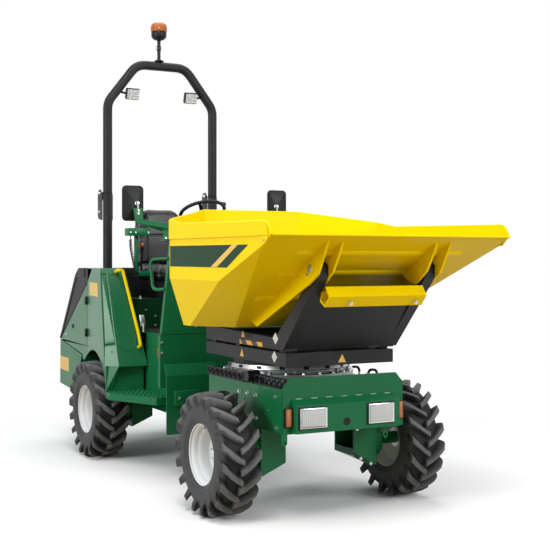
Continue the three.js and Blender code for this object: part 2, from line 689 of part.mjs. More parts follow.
const innerSheet = meet(
  prismX([[-fenderInner, 695], [-fenderInner - 115, hoodTop - 1], [-fenderInner - 115 - sheet, hoodTop - 1],
    [-fenderInner - sheet, 695]],
    -2300, -1600),
  prismY([[fenderFoot - 2, fenderZ - 4], [fenderTop - 2, hoodTop - 1], [-2300, hoodTop - 1],
    [-2300, fenderZ - 4]], -800, -300),
);
const corner = frustum(
  [[-1764, -690], [fenderFoot, -608], [fenderFoot - 5, -602], [-1768, -684]], fenderZ,
  [[fenderTop, -677], [fenderTop, -626], [fenderTop - sheet, -622], [fenderTop - sheet, -671]], hoodTop,
);
const cornerFoot = frustum(
  [[-1742, -690], [-1744, -640], [-1748, -640], [-1749, -685]], 518,
  [[-1764, -690], [fenderFoot, -608], [fenderFoot - 5, -602], [-1768, -684]], fenderZ + 0.5,
);
const wellTop = prismZ([[-1760, -fenderInner], [-1760, -686], [fenderFoot, -608],
  [fenderFoot, -fenderInner]], fenderZ - sheet, fenderZ);
const wellBack = prismX([[-fenderInner - 14, 480], [-640, 480], [-688, 520], [-688, fenderZ - 1],
  [-fenderInner - 14, fenderZ - 1]], -1745, -1740);
const linerTop = box(-2420, -1741, -645, -486, 800, 805);
const linerSide = box(-2340, -1741, -490, -486, 520, 801);
const panel = join(cut(skin, frontClip), corner, cornerFoot, frontSheet, cut(topSheet, frontClip),
  innerSheet, wellTop, wellBack,
  cut(linerTop, box(-2440, -2360, -495, -400, 700, 900)), linerSide);
addPair("side_panel", panel, "green");

const door = prismY(
  [[doorHingeX - 4, doorLow], [doorHingeX - 4, edgeZ(doorHingeX - 4) - 10], [-2968, edgeZ(-2968) - 10],
    [-2960, doorLow + 12]],
  -bodyHalf, -bodyHalf + sheet,
);
const hingeKnuckle = (z) => bar([doorHingeX, -bodyHalf - 9, z - 26], [doorHingeX, -bodyHalf - 9, z + 26], 9,
  12);
const hingeLeaf = (z) => box(doorHingeX - 34, doorHingeX, -bodyHalf - 6, -bodyHalf + 1, z - 20, z + 20);
addPair("door", join(door, ...[905, 1150].flatMap((z) => [hingeKnuckle(z), hingeLeaf(z)])), "green");

// Hood: a shell over the batteries, notched for the seat, its corners open where the side panels reach.
const hull = [[hoodEdge, hoodTop], [-2520, hoodTop], [-2602, 1350], [hoodRear, 816]];
const hoodShell = cut(
  prismY([...hull, [-3012, 822 - 6], [hoodEdge, edgeZ(hoodEdge) + 1]].map(([x, z]) => [x, z]).reverse(),
    -bodyHalf, bodyHalf),
  prismY([[hoodEdge + 20, hoodTop - sheet], [-2518, hoodTop - sheet], [-2598, 1346], [-3016, 816],
    [-3016, 700],
    [hoodEdge + 20, 700]], -bodyHalf + sheet, bodyHalf - sheet),
);
const postR = ropsTube + 2;
const posts = [-1, 1].map((s) => bar([ropsX, s * ropsHalf, 600], [ropsX, s * ropsHalf, 1600], postR, 16));
const seatWell = box(-2480, -2000, -fenderInner + 2, fenderInner - 2, 1100, 1600);
const bulkheadSeat = box(-2485, -2480, -fenderInner + 2, fenderInner - 2, 1010, hoodTop - 1);
const topKeep = box(doorHingeX + 9.7, -1900, -800, 800, 1200, 1500);
add("rear_hood", cut(join(cut(hoodShell, seatWell), bulkheadSeat), ...posts, topKeep), "plastic");

// ---------------------------------------------------------------- operator's place
const floorHalf = 384;
const floorFront = towerX - 10 - gap;
const floor = box(-2350, floorFront, -floorHalf, floorHalf, floorZ - 8, floorZ);
const riser = box(-1735, floorFront, -floorHalf, -floorHalf + 6, stepZ - 40, floorZ - 1);
const step = cut(
  prismZ([[-1740 + gap, -floorHalf + 2], [-1740 + gap, -690], [-1655, -690], [-1240, -500],
    [-1240, -floorHalf + 2]].reverse(), stepZ - 50, stepZ),
  prismZ([[-1750, -floorHalf - 8], [-1750, -684], [-1657, -684], [-1246, -496],
    [-1246, -floorHalf - 8]].reverse(), stepZ - 60, stepZ - 6),
);
const floorRear = box(-1955, -1949, -floorHalf, floorHalf, 640 + gap, floorZ - 1);
const toRail = box(-1660, -1600, -floorHalf + 1, floorHalf - 1, 640 + gap, 660);
const railWeb = box(-1660, -1654, -floorHalf + 1, floorHalf - 1, 641, floorZ - 1);
add("operator_platform", join(floor, riser, mirrored(riser), step, mirrored(step), toRail, railWeb,
  floorRear), "green");

add("seat_base", cut(box(-2350, -1960, -372, 372, floorZ + gap, 1170),
  box(-2345, -1965, -367, 367, floorZ - 5, 1165),
  box(-2360, -1970, -340, 340, floorZ + 20, 1150)), "darkGreen");
add("seat_pan", box(-2330, -1985, -185, 185, 1170 + gap, 1300), "plastic");
add("seat_cushion", box(-2390, -1935, -225, 225, 1300 + gap, 1430), "vinyl");
add("seat_backrest", prismY([[-2470, 1425], [-2390 - gap, 1425], [-2392 - 6, 1440], [-2400, 1790],
  [-2425, 1875], [-2470, 1875],
  [-2490, 1800]], -215, 215), "vinyl");

const towerTopZ = 1600;
const towerDepth = 250;
const towerFace = (t) => [
  [-498 + t, 594 + t], [498 - t, 594 + t], [498 - t, 950], [488 - t, 962], [417 - t, towerTopZ - t],
  [-417 + t, towerTopZ - t], [-488 + t, 962], [-498 + t, 950],
];
const towerShell = cut(
  prismX(towerFace(0), towerX - 240, towerX),
  prismX(towerFace(sheet), towerX - 260, towerX - sheet),
  prismY([[towerX - 300, 500], [towerX - 10, 500], [towerX - 10, floorZ - 14], [towerX - 300, floorZ - 14]],
    -600, 600),
  box(towerX - 13, towerX - 300, -600, 600, floorZ - 9, floorZ + 0.3),
);
const towerKeep = box(towerX - 300, towerX - 11.6, -600, 600, floorZ - 60, floorZ + gap);
const loop = tube([[towerX - 120, -430, 1262], [towerX - 120, -502, 1256], [towerX - 132, -517, 1464],
  [towerX - 132, -424, 1472]], 11, 40, 8, 3);
add("dash_tower", cut(join(towerShell, loop, mirrored(loop)), towerKeep), "green");

const wheelC = [-1594, 0, 1811];
const lean = 0.4538; // 26 degrees
const wheelAxis = [-Math.sin(lean), 0, Math.cos(lean)];
const onAxis = (t) => wheelC.map((v, i) => v + t * wheelAxis[i]);
const columnFoot = onAxis(-175);
add(
  "steering_column",
  join(bar(columnFoot, onAxis(-34), 34, 16),
    prismY([[towerX - 225, towerTopZ + gap], [towerX - 60, towerTopZ + gap],
    [towerX - 60, towerTopZ + 40], [columnFoot[0] + 40, columnFoot[2] + 40],
      [columnFoot[0] - 30, columnFoot[2] - 6],
    [columnFoot[0] - 6, columnFoot[2] - 34]].reverse(), -60, 60)),
  "plastic",
);
const handwheelR = 162;
const rimTube = new THREE.TorusGeometry(handwheelR, 13, 6, 24);
const spoke = (a) => {
  const c = Math.cos(a);
  const s = Math.sin(a);
  return bar([20 * c, 20 * s, -6], [(handwheelR - 4) * c, (handwheelR - 4) * s, 0], 9, 8);
};
const knob = bar([58, 148, 2], [58, 148, 46], 19, 12);
const hub = bar([0, 0, -33.4], [0, 0, 10], 34, 16);
const handwheel = join(rimTube, spoke(Math.PI / 2), spoke((7 * Math.PI) / 6), spoke((11 * Math.PI) / 6),
  knob, hub);
handwheel.rotateY(-lean).translate(...wheelC);
add("steering_wheel", handwheel, "plastic");

// Control console on the right of the seat, on its angle bracket.
const consoleX = -1950;
const consoleBox = box(consoleX - 90, consoleX, -438, -268, 1640, 1698);
const angleArm = prismX([[-424, 1641], [-370, 1641], [-345, 1400], [-290, 1350], [-290, 1240], [-315, 1240],
  [-315, 1345], [-380, 1385]].reverse(),
  consoleX - 72, consoleX - 60);
const angleFoot = box(consoleX - 72, consoleX - 42, -310, -185 - gap, 1240, 1254);
const stick = bar([consoleX - 50, -297, 1697], [consoleX - 50, -297, 1770], 10, 8);
const stickKnob = bar([consoleX - 50, -297, 1762], [consoleX - 50, -297, 1824], 24, 12);
add("console", join(consoleBox, angleArm, angleFoot, stick, stickKnob), "green");

// Stone guards behind the front wheels.
const guardSheet = (low, y0, y1) => prismY(
  [[-1036, low], [-1030, low], [-1030, 690], [-1066, 766], [-1072, 763], [-1036, 688]], y0, y1,
);
const guard = join(guardSheet(300, -512, -228), guardSheet(560, -229, -142));
const guardFoot = box(-1060 + gap, -1031, -320, -250, 400, 600);
addPair("stone_guard", join(guard, guardFoot), "green");

// ---------------------------------------------------------------- roll bar
const post = bar([ropsX, -ropsHalf, 668], [ropsX, -ropsHalf, ropsFoldZ - 4], ropsTube, 16);
const crossFoot = box(ropsX - 38, ropsX + 38, -482, 482, 640 + gap, 680);
const foldX = ropsX - 52;
const lowEar = prismY([[ropsX, ropsFoldZ - 90], [foldX, ropsFoldZ - 26], [foldX - 22, ropsFoldZ - 6],
  [foldX - 10, ropsFoldZ + 4],
  [foldX - 4, ropsFoldZ + 10], [foldX + 6, ropsFoldZ + 9], [foldX + 12, ropsFoldZ - 4],
    [ropsX, ropsFoldZ - 4]].reverse(),
  -ropsHalf - 30, -ropsHalf - 14);
const highEar = prismY([[ropsX, ropsFoldZ + 90], [ropsX, ropsFoldZ + 0], [foldX + 30, ropsFoldZ + 10],
  [foldX + 9, ropsFoldZ - 6], [foldX - 4, ropsFoldZ - 10],
  [foldX - 11, ropsFoldZ - 1]].reverse(), -ropsHalf - 10, -ropsHalf + 14);
const foldPin = bar([foldX, -ropsHalf - 34, ropsFoldZ], [foldX, -ropsHalf - 10.6, ropsFoldZ], 8, 12);
add("rops_posts", join(crossFoot, post, mirrored(post), lowEar, mirrored(lowEar), foldPin,
  mirrored(foldPin)), "black");
const bow = tube([[ropsX, -ropsHalf, ropsFoldZ], [ropsX, -ropsHalf, ropsShoulderZ],
  [ropsX, -ropsTopHalf, ropsTopZ],
  [ropsX, ropsTopHalf, ropsTopZ], [ropsX, ropsHalf, ropsShoulderZ], [ropsX, ropsHalf, ropsFoldZ]], ropsTube,
    ropsBend, 16, 5);
add("rops_bow", join(bow, highEar, mirrored(highEar)), "black");
const beaconZ = ropsTopZ + ropsTube;
const beaconY = -20;
add(
  "beacon",
  join(box(ropsX - 24, ropsX + 24, beaconY - 30, beaconY + 30, beaconZ + gap, beaconZ + 7),
    latheZ([[0, beaconZ + 6], [13, beaconZ + 6], [13, beaconZ + 170], [44, beaconZ + 178],
      [64, beaconZ + 196],
      [66, beaconZ + 252], [56, beaconZ + 286], [34, beaconZ + 306], [0, beaconZ + 312]], ropsX, beaconY,
        20)),
  "amber",
);
// A work light hangs inside each shoulder of the bow.
const slant = (z) => -ropsHalf + ((z - ropsShoulderZ) * (ropsHalf - ropsTopHalf)) / (ropsTopZ - ropsShoulderZ) + ropsTube * 1.262;
const lamp = join(
  box(ropsX - 22, ropsX + 38, -303, -193, 2716, 2812),
  prismX([[slant(2745) + gap * 1.5, 2745], [-300, 2745], [-300, 2790], [slant(2790) + gap * 1.5, 2790]],
    ropsX - 6, ropsX + 6),
);
addPair("work_light", lamp, "lens");

// ---------------------------------------------------------------- mirrors, rails, markers
const armFoot = [towerX - 35, -412];
const armTurn = Math.PI + 0.47; // the arms lean back and outwards
const mirrorArm = prismY([[0, towerTopZ + gap], [60, towerTopZ + gap], [60, 1650], [290, 1706], [336, 1740],
  [340, 1826], [262, 1826],
  [258, 1745], [0, 1713]], -3, 3).rotateZ(armTurn).translate(armFoot[0], armFoot[1], 0);
const mirrorFoot = box(armFoot[0] - 60, armFoot[0] + 4, -425, -385, towerTopZ + gap, towerTopZ + 6);
const mirrorHead = box(-1522, -1488, -645, -508, 1733, 1982);
addPair("mirror", join(mirrorArm, mirrorFoot, mirrorHead), "plastic");
const offFender = (z, y, d) => {
  const t = (z - fenderZ) / (hoodTop - fenderZ);
  return [fenderFoot + t * (fenderTop - fenderFoot) + 0.956 * d, y, z + 0.295 * d];
};
const rail = tube([offFender(1372, -560, gap), offFender(1372, -560, 45), offFender(1372, -520, 45),
  offFender(920, -452, 45),
  offFender(830, -444, 45), offFender(830, -444, gap)], 12, 14, 8, 2);
addPair("grab_rail", rail, "yellow");
addPair("side_marker", box(-1480, -1400, -floorHalf - 20, -floorHalf - gap, 770, 850), "amber");

// Curly cable from the console down to its fitting on the seat base.
const cable = tube([[consoleX - 20, -417, 1640 - 2 * gap], [consoleX - 20, -415, 1560],
  [consoleX, -400, 1440], [consoleX, -380, 1320],
  [consoleX - 4, -346, 1232], [consoleX - 25, -340, 1200], [consoleX - 25, -340, 1170 + gap]], 13, 18, 10,
    3);
add("curly_cable", cable, "plastic");

placed.position.x = -(hoodRear + skipLipX) / 2;
export default machine;
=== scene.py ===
# %% [markdown]
# # A site dumper with a skip that turns and tips
#
# The machine's shapes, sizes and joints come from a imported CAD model, the frame. This lesson
# dresses that frame. Shapes that are already right get a finish, and soft, rounded or finely
# detailed parts are modelled again and stand in for their plain CAD solids.

# %% Load the frame and measure it
import math

import bmesh
import bpy
from mathutils import Matrix, Vector


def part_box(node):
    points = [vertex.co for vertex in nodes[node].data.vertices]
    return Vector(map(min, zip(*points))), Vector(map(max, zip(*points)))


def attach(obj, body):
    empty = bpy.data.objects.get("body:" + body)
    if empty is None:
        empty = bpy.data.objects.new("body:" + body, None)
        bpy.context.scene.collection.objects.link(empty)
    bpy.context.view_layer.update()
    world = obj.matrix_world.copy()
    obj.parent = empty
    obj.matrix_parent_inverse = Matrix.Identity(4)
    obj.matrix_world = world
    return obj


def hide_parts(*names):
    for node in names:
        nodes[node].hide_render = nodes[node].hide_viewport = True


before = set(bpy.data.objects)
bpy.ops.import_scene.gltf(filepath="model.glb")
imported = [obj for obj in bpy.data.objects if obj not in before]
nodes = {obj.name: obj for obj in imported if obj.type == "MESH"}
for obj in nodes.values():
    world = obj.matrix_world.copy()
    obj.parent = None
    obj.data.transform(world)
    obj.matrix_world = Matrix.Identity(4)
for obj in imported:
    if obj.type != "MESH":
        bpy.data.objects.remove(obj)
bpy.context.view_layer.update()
rim_low, rim_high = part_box("rim_front_right")
axle = (rim_low[0] + rim_high[0]) / 2
axle_height = (rim_low[2] + rim_high[2]) / 2
hands = (("right", -1), ("left", 1))
wheelbase, wheel_y, wheel_z = 2108, 621, 355
skip_y, frame_y, post_y = 750, 398, 447  # half widths of the skip, front frame and roll bar
print("front axle at x =", round(axle, 4), "height", round(axle_height, 4))


def at(x, y, z):
    """A point in millimetres from the ground under the front axle, as metres in the frame."""
    return Vector((axle + x / 1000, y / 1000, z / 1000))

# %% [markdown]
# ## Camera
# A long lens a few metres off keeps the sides nearly parallel. The camera is level, and a small
# shift lowers the machine in the view without tilting its upright posts.

# %% Place the camera
focal, view_width = 1074.4, 550
camera_data = bpy.data.cameras.new("camera")
camera_data.sensor_width = 36
camera_data.lens = focal / view_width * camera_data.sensor_width
camera_data.shift_y = -0.03
camera = bpy.data.objects.new("camera", camera_data)
camera.location = at(5599, -3210, 1471)
camera.rotation_euler = (math.pi / 2, 0, math.atan2(0.8837, 0.4681))
scene = bpy.context.scene
scene.collection.objects.link(camera)
scene.camera = camera
print("lens", round(camera_data.lens, 1), "mm")

# %% [markdown]
# ## Materials
# A material is a small network of nodes. One function turns the sRGB hex colours that painters
# and screens use into the linear numbers that light is added up in. Another adds a node with its
# settings and its links, so that every network below reads from top to bottom. Paint, plastic and
# rubber share one recipe, a coat whose colour, gloss and grain differ from one to the next.


# %% Colour and node helpers
def linear(code):
    """An sRGB hex colour as linear red, green, blue and alpha."""
    parts = [int(code[i:i + 2], 16) / 255 for i in (1, 3, 5)]
    return [c / 12.92 if c <= 0.04045 else ((c + 0.055) / 1.055) ** 2.4 for c in parts] + [1.0]


def add_node(tree, kind, inputs=None, **settings):
    """Adds a shader node. inputs maps a socket's name or number to a value or to another socket."""
    made = tree.nodes.new("ShaderNode" + kind)
    for key, value in settings.items():
        setattr(made, key, value)
    for key, value in (inputs or {}).items():
        if isinstance(value, bpy.types.NodeSocket):
            tree.links.new(value, made.inputs[key])
        else:
            made.inputs[key].default_value = value
    return made


def blend(tree, factor, first, second):
    """Mixes two colours, each a hex code, a list or another node's colour."""
    pair = [linear(c) if isinstance(c, str) else c for c in (first, second)]
    return add_node(tree, "Mix", {0: factor, 6: pair[0], 7: pair[1]}, data_type="RGBA").outputs[2]


def noise(tree, place, scale, detail=2.0):
    return add_node(tree, "TexNoise", {"Vector": place, "Scale": scale, "Detail": detail}).outputs["Fac"]


def between(tree, value, low, high, start=0.0, end=1.0):
    """Maps start..end of a value to low..high."""
    limits = {"Value": value, "From Min": start, "From Max": end, "To Min": low, "To Max": high}
    return add_node(tree, "MapRange", limits).outputs["Result"]


def raise_by(tree, shader, height, strength, distance, **others):
    """Bumps a shader's surface by a height."""
    bump = add_node(tree, "Bump", {"Height": height, "Strength": strength, "Distance": distance, **others})
    tree.links.new(bump.outputs["Normal"], shader.inputs["Normal"])


def new_material(name, **surface):
    """A material with a principled surface, its sockets set from surface, and object coordinates."""
    made = bpy.data.materials.new(name)
    made.use_nodes = True
    tree = made.node_tree
    tree.nodes.clear()
    output = add_node(tree, "OutputMaterial")
    shader = add_node(tree, "BsdfPrincipled", {k.replace("_", " "): v for k, v in surface.items()})
    tree.links.new(shader.outputs["BSDF"], output.inputs["Surface"])
    return made, tree, shader, add_node(tree, "TexCoord").outputs["Object"]


def coating(name, colour, worn, roughness, edge, sheen, ior, patches, fade, gloss, grain, relief,
        paler_colour=None):
    """A coat with worn patches, uneven gloss, a fine relief and rounded edges.

    patches and grain are a noise's scale and detail, fade is how much worn colour shows and from
    which to which noise, gloss is the change in roughness, and relief is strength and depth."""
    made, tree, shader, place = new_material(name, IOR=ior, Specular_IOR_Level=sheen)
    cloud = noise(tree, place, *patches)
    mixed = blend(tree, between(tree, cloud, 0, *fade), colour, worn)
    # A share attribute on the mesh mixes in a paler colour.
    if paler_colour:
        paler_share = add_node(tree, "Attribute", attribute_name="paler_share").outputs["Fac"]
        mixed = blend(tree, paler_share, mixed, paler_colour)
    tree.links.new(mixed, shader.inputs["Base Color"])
    rough = between(tree, cloud, roughness + gloss[0], roughness + gloss[1])
    tree.links.new(rough, shader.inputs["Roughness"])
    rounded = add_node(tree, "Bevel", {"Radius": edge}, samples=4)
    raise_by(tree, shader, noise(tree, place, *grain), *relief, Normal=rounded.outputs["Normal"])
    return made


# %% [markdown]
# ### Sprayed enamel
# The frame, skip and covers are welded sheet steel under a thick coat of sprayed enamel. It is
# glossy, but each flat sheet ripples a little, as orange peel does, which breaks up the highlights.
# Enamel has an IOR near 1.5. Noise of about 3 mm makes the peel, drawn coarser than the real
# 1 mm so that it shows, and noise of about 250 mm shifts the tone as road dust does. A bevel
# node rounds the light over the sheet edges, as the paint film does.


# %% Enamel paint
def enamel(name, colour, dust, roughness, edge=0.003, sheen=0.22):
    return coating(name, colour, dust, roughness, edge, sheen, 1.5, (4.0, 4.0), (0.16, 0.42, 0.78),
        (-0.06, 0.10), (300.0, 1.0), (0.05, 0.001))


green_enamel = enamel("green_enamel", "#10653C", "#33664B", 0.30)
panel_enamel = enamel("panel_enamel", "#17663E", "#3C6A50", 0.28, sheen=0.5)
dark_green_enamel = enamel("dark_green_enamel", "#0C3A20", "#25432F", 0.34)
yellow_enamel = enamel("yellow_enamel", "#EED000", "#DDB802", 0.30, sheen=0.06)
rim_enamel = enamel("rim_enamel", "#D5D8DA", "#B4B6B4", 0.34, 0.002)
print("enamels:", [m.name for m in (green_enamel, panel_enamel, dark_green_enamel, yellow_enamel,
    rim_enamel)])

# %% [markdown]
# ### Textured powder coat, moulded plastic and cast iron black
# The carriage, cradle and roll bar wear a dark powder coat, whose fine grit of about 0.8 mm
# scatters the light. The rear hood is moulded plastic with a leather-like grain, and rubber
# is duller still. They share one recipe with different grain sizes and depths.


# %% Grained blacks
def grained(name, colour, worn, roughness, grain_mm, depth_mm, edge=0.003, ior=1.5, paler_colour=None, sheen=0.2):
    return coating(name, colour, worn, roughness, edge, sheen, ior, (7.0, 5.0), (0.5, 0.45, 0.75),
        (-0.08, 0.12), (1000 / grain_mm / 2, 2.0), (0.5, depth_mm / 1000), paler_colour)


powder_coat = grained("powder_coat", "#1B1C1E", "#28292B", 0.36, 1.6, 0.3)
hood_plastic = grained("hood_plastic", "#1E1F21", "#2E2F30", 0.45, 2.4, 0.5)
grip_plastic = grained("grip_plastic", "#191A1B", "#262728", 0.38, 1.2, 0.2, 0.001)
tyre_rubber = grained("tyre_rubber", "#1A1B1D", "#2C2C2D", 0.52, 2.0, 0.4, 0.0015, paler_colour="#626365")
hose_rubber = grained("hose_rubber", "#18191A", "#252525", 0.5, 1.0, 0.1, 0.001)
print("blacks:", [m.name for m in (powder_coat, hood_plastic, grip_plastic, tyre_rubber, hose_rubber)])

# %% [markdown]
# ### Bare metals
# Bolts are zinc plated, rods are hard chrome, and the slewing ring is turned steel, whose cutting
# marks run in circles round its axis. A metal has metallic 1 and the default IOR; its colour is
# its reflection.


# %% Metals
def darker(colour, share):
    return [c * share for c in linear(colour)[:3]] + [1.0]


def bare_metal(name, colour, roughness, spots=60.0):
    made, tree, shader, place = new_material(name, Metallic=1.0)
    cloud = noise(tree, place, spots, 3.0)
    tree.links.new(blend(tree, cloud, colour, darker(colour, 0.72)), shader.inputs["Base Color"])
    tree.links.new(between(tree, cloud, roughness, roughness + 0.18), shader.inputs["Roughness"])
    return made


zinc_plate = bare_metal("zinc_plate", "#D9DCDE", 0.28)
hard_chrome = bare_metal("hard_chrome", "#E8EAEC", 0.10, 15.0)
turned_steel = bare_metal("turned_steel", "#B9BCBE", 0.26, 25.0)
tree = turned_steel.node_tree
ring_middle = [-(a + b) / 2 for a, b in zip(*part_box("slew_ring"))]
place = add_node(tree, "TexCoord").outputs["Object"]
centred = add_node(tree, "Mapping", {"Vector": place, "Location": ring_middle}).outputs["Vector"]
marks = add_node(tree, "TexWave", {"Vector": centred, "Scale": 60.0, "Distortion": 0.4}, wave_type="RINGS",
    rings_direction="Z")
raise_by(tree, tree.nodes["Principled BSDF"], marks.outputs["Fac"], 0.25, 0.0005)
print("turning marks centred on", [round(-v, 3) for v in ring_middle])

# %% [markdown]
# ### Lamps, labels and trim colours
# The lamp lenses are moulded clear or amber acrylic, fluted inside to spread the light. Labels are
# vinyl film. Their places stay, but they carry no lettering or signs.


# %% Lenses and film
def fluted(name, colour, transmission, roughness, pitch_mm, axis="Y"):
    made, tree, shader, place = new_material(name, Base_Color=linear(colour), Roughness=roughness, IOR=1.49,
        Transmission_Weight=transmission, Emission_Color=linear(colour), Emission_Strength=0.03)
    flutes = add_node(tree, "TexWave", {"Vector": place, "Scale": 1000 / pitch_mm / 20 * math.pi},
        wave_type="BANDS", bands_direction=axis)
    raise_by(tree, shader, flutes.outputs["Fac"], 0.6, 0.002)
    return made


def film(name, colour, roughness=0.35):
    made, tree, shader, place = new_material(name, Roughness=roughness, IOR=1.5, Specular_IOR_Level=0.15)
    faded = blend(tree, noise(tree, place, 20.0, 3.0), colour, darker(colour, 0.86))
    tree.links.new(faded, shader.inputs["Base Color"])
    return made


lamp_lens = fluted("lamp_lens", "#D5DADC", 0.35, 0.12, 6.0)
amber_lens = fluted("amber_lens", "#B25C08", 0.15, 0.14, 5.0, "Z")
stripe_film = film("stripe_film", "#1B3A28", 0.5)
gold_film = film("gold_film", "#E4BE64")
grey_film = film("grey_film", "#D3D6D6")
orange_plastic = film("orange_plastic", "#D9641E", 0.4)
silvered_glass, tree, shader, place = new_material("silvered_glass", Base_Color=linear("#E6EAEC"),
    Metallic=1.0, Roughness=0.03)
raise_by(tree, shader, noise(tree, place, 9.0), 0.02, 0.001)
print("lenses, film and mirror glass ready")

# %% [markdown]
# ### Hazard film
# Yellow and black bars at 45 degrees warn of the pinch point where the carriage turns. The bars are
# 25 mm wide. A wave texture along a turned axis gives them, cut hard by a greater-than.

# %% Hazard bars
bar_mm = 25
hazard_film, tree, shader, place = new_material("hazard_film", Roughness=0.4, IOR=1.5)
slanted = add_node(tree, "Mapping", {"Vector": place, "Rotation": (0, math.radians(45),
    0)}).outputs["Vector"]
bars = add_node(tree, "TexWave", {"Vector": slanted, "Scale": 1000 / (2 * bar_mm) / 20 * math.pi},
    wave_type="BANDS", bands_direction="X")
cut_hard = add_node(tree, "Math", {0: bars.outputs["Fac"], 1: 0.5}, operation="GREATER_THAN")
two_tone = blend(tree, cut_hard.outputs["Value"], "#1B1B1C", "#E3A21A")
tree.links.new(two_tone, shader.inputs["Base Color"])
print("hazard bars", bar_mm, "mm wide")

# %% [markdown]
# ## Finishes for the CAD solids
# Most of the machine is folded plate, and its CAD shapes are right as they are. Each one only
# takes a material. A table from finish to nodes is easier to check than fifty separate lines.

# %% Paint the CAD nodes
def pairs(*names):
    """Each name with _right and _left."""
    return [f"{name}_{hand}" for name in names for hand, _ in hands]


finishes = {
    green_enamel: ["front_frame", "rear_frame", "light_bar", "dash_tower", "operator_platform",
        "counterweight", "centre_knuckle", "console"] + pairs("stone_guard"),
    panel_enamel: pairs("side_panel", "door"),
    dark_green_enamel: ["seat_base"],
    yellow_enamel: ["skip", "guard_beam"] + pairs("grab_rail"),
    powder_coat: ["carriage_frame", "skip_cradle", "rops_posts", "rops_bow", "tip_cylinder_barrel",
        "steering_cylinder_barrel", "battery_block", "slew_motor", "cable_chain"],
    hood_plastic: ["rear_hood", "seat_pan", "steering_column"],
    grip_plastic: ["steering_wheel"] + pairs("mirror", "work_light"),
    hard_chrome: ["tip_cylinder_rod", "steering_cylinder_rod"],
    turned_steel: ["slew_ring"],
    rim_enamel: pairs("rim_front", "rim_rear"),
    tyre_rubber: pairs("tyre_front", "tyre_rear") + ["curly_cable"],
    amber_lens: ["beacon"] + pairs("indicator", "side_marker"),
    lamp_lens: pairs("headlight"),
}
for finish, names in finishes.items():
    for name in names:
        slots = nodes[name].data.materials
        slots.clear()
        slots.append(finish)
print("painted", sum(len(n) for n in finishes.values()), "of", len(nodes), "nodes")

# %% [markdown]
# ## Modelling helpers
# Every new piece starts as a bmesh, which holds a mesh while operators shape it. These helpers
# make the three forms that recur: a block with rounded edges, a sheet cut to an outline and a
# turned part. The last one hands the finished mesh to the scene and to the body that it rides on.


# %% Blocks, sheets and turned parts
def soften(made, edges, radius, segments=1):
    """Rounds some edges of a bmesh."""
    bmesh.ops.bevel(made, geom=edges, offset=radius, affect="EDGES", segments=segments, profile=0.5,
        material=-1)


def plain_block(low, high):
    made = bmesh.new()
    bmesh.ops.create_cube(made, size=1)
    bmesh.ops.scale(made, vec=high - low, verts=made.verts)
    bmesh.ops.translate(made, vec=(high + low) / 2, verts=made.verts)
    return made


def rounded_block(low, high, radius=0.004, segments=2):
    """A block between two corners, its edges rounded."""
    made = plain_block(Vector(low), Vector(high))
    soften(made, made.edges[:], radius, segments)
    return made


def block(low, high, *rounding):
    """A rounded block between two corners in millimetres from the axle."""
    return rounded_block(at(*low), at(*high), *rounding)


def cut_sheet(corners, depth, radius=0.001):
    """A flat sheet with its corners in order. depth is the vector from one face to the other."""
    made = bmesh.new()
    face = made.faces.new([made.verts.new(c) for c in corners])
    grown = bmesh.ops.extrude_face_region(made, geom=[face])
    bmesh.ops.translate(made, vec=depth, verts=[g for g in grown["geom"] if isinstance(g,
        bmesh.types.BMVert)])
    bmesh.ops.recalc_face_normals(made, faces=made.faces)
    if radius:
        soften(made, made.edges[:], radius)
    return made


def sheet(corners, *rest):
    """A flat sheet whose corners are in millimetres from the axle."""
    return cut_sheet([at(*c) for c in corners], *rest)


def wall(y, corners, depth, *rest):
    """An upright sheet along the machine: (x, z) corners at one y in millimetres, depth in metres."""
    return sheet([(x, y, z) for x, z in corners], (0, depth, 0), *rest)


def lathe(profile, steps=32):
    """Spins (radius, height) pairs in millimetres round Z into a closed part."""
    made = bmesh.new()
    ring = [made.verts.new((r / 1000, 0, h / 1000)) for r, h in profile]
    edges = [made.edges.new(pair) for pair in zip(ring, ring[1:])]
    bmesh.ops.spin(made, geom=ring + edges, cent=(0, 0, 0), axis=(0, 0, 1), angle=2 * math.pi, steps=steps,
        use_merge=True)
    bmesh.ops.remove_doubles(made, verts=made.verts, dist=1e-5)
    bmesh.ops.recalc_face_normals(made, faces=made.faces)
    return made


def gather(parts):
    """Several bmeshes as one."""
    whole = bmesh.new()
    for part in parts:
        step = bpy.data.meshes.new("step")
        part.to_mesh(step)
        part.free()
        whole.from_mesh(step)
        bpy.data.meshes.remove(step)
    return whole


def facing(direction, point=(0, 0, 0)):
    """The matrix that turns +Z to a direction and moves the origin to a point."""
    return Matrix.Translation(point) @ Vector(direction).to_track_quat("Z", "Y").to_matrix().to_4x4()


def moved(made, matrix):
    bmesh.ops.transform(made, matrix=matrix, verts=made.verts)
    return made


def put(made, point, direction=None):
    """Moves a part from the origin to a point, with its +Z turned to a direction if one is given."""
    return moved(made, facing(direction, point) if direction else Matrix.Translation(point))


def finished(name, made, finish, body, stands_for=(), crease=35):
    """Puts a bmesh, or a list of them, into the scene as a named piece on a body, with its finish."""
    made = gather(made) if isinstance(made, list) else made
    mesh = bpy.data.meshes.new(name)
    made.to_mesh(mesh)
    made.free()
    mesh.shade_smooth()
    mesh.set_sharp_from_angle(angle=math.radians(crease))
    piece = bpy.data.objects.new(name, mesh)
    scene.collection.objects.link(piece)
    mesh.materials.append(finish)
    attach(piece, body)
    if stands_for:
        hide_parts(*stands_for)
    return piece


print("helpers ready")

# %% [markdown]
# ## Tyres
# A dumper runs on traction tyres: a smooth casing with tall rubber bars in a herringbone, 18 a
# side, left and right half a step apart. The casing is a section spun round the axle. One bar is a
# short section that is extruded along its path from the tread's middle, over the shoulder and
# down the side, and then repeated. Bars point forwards at the top, so they bite and clean as the
# wheel rolls.

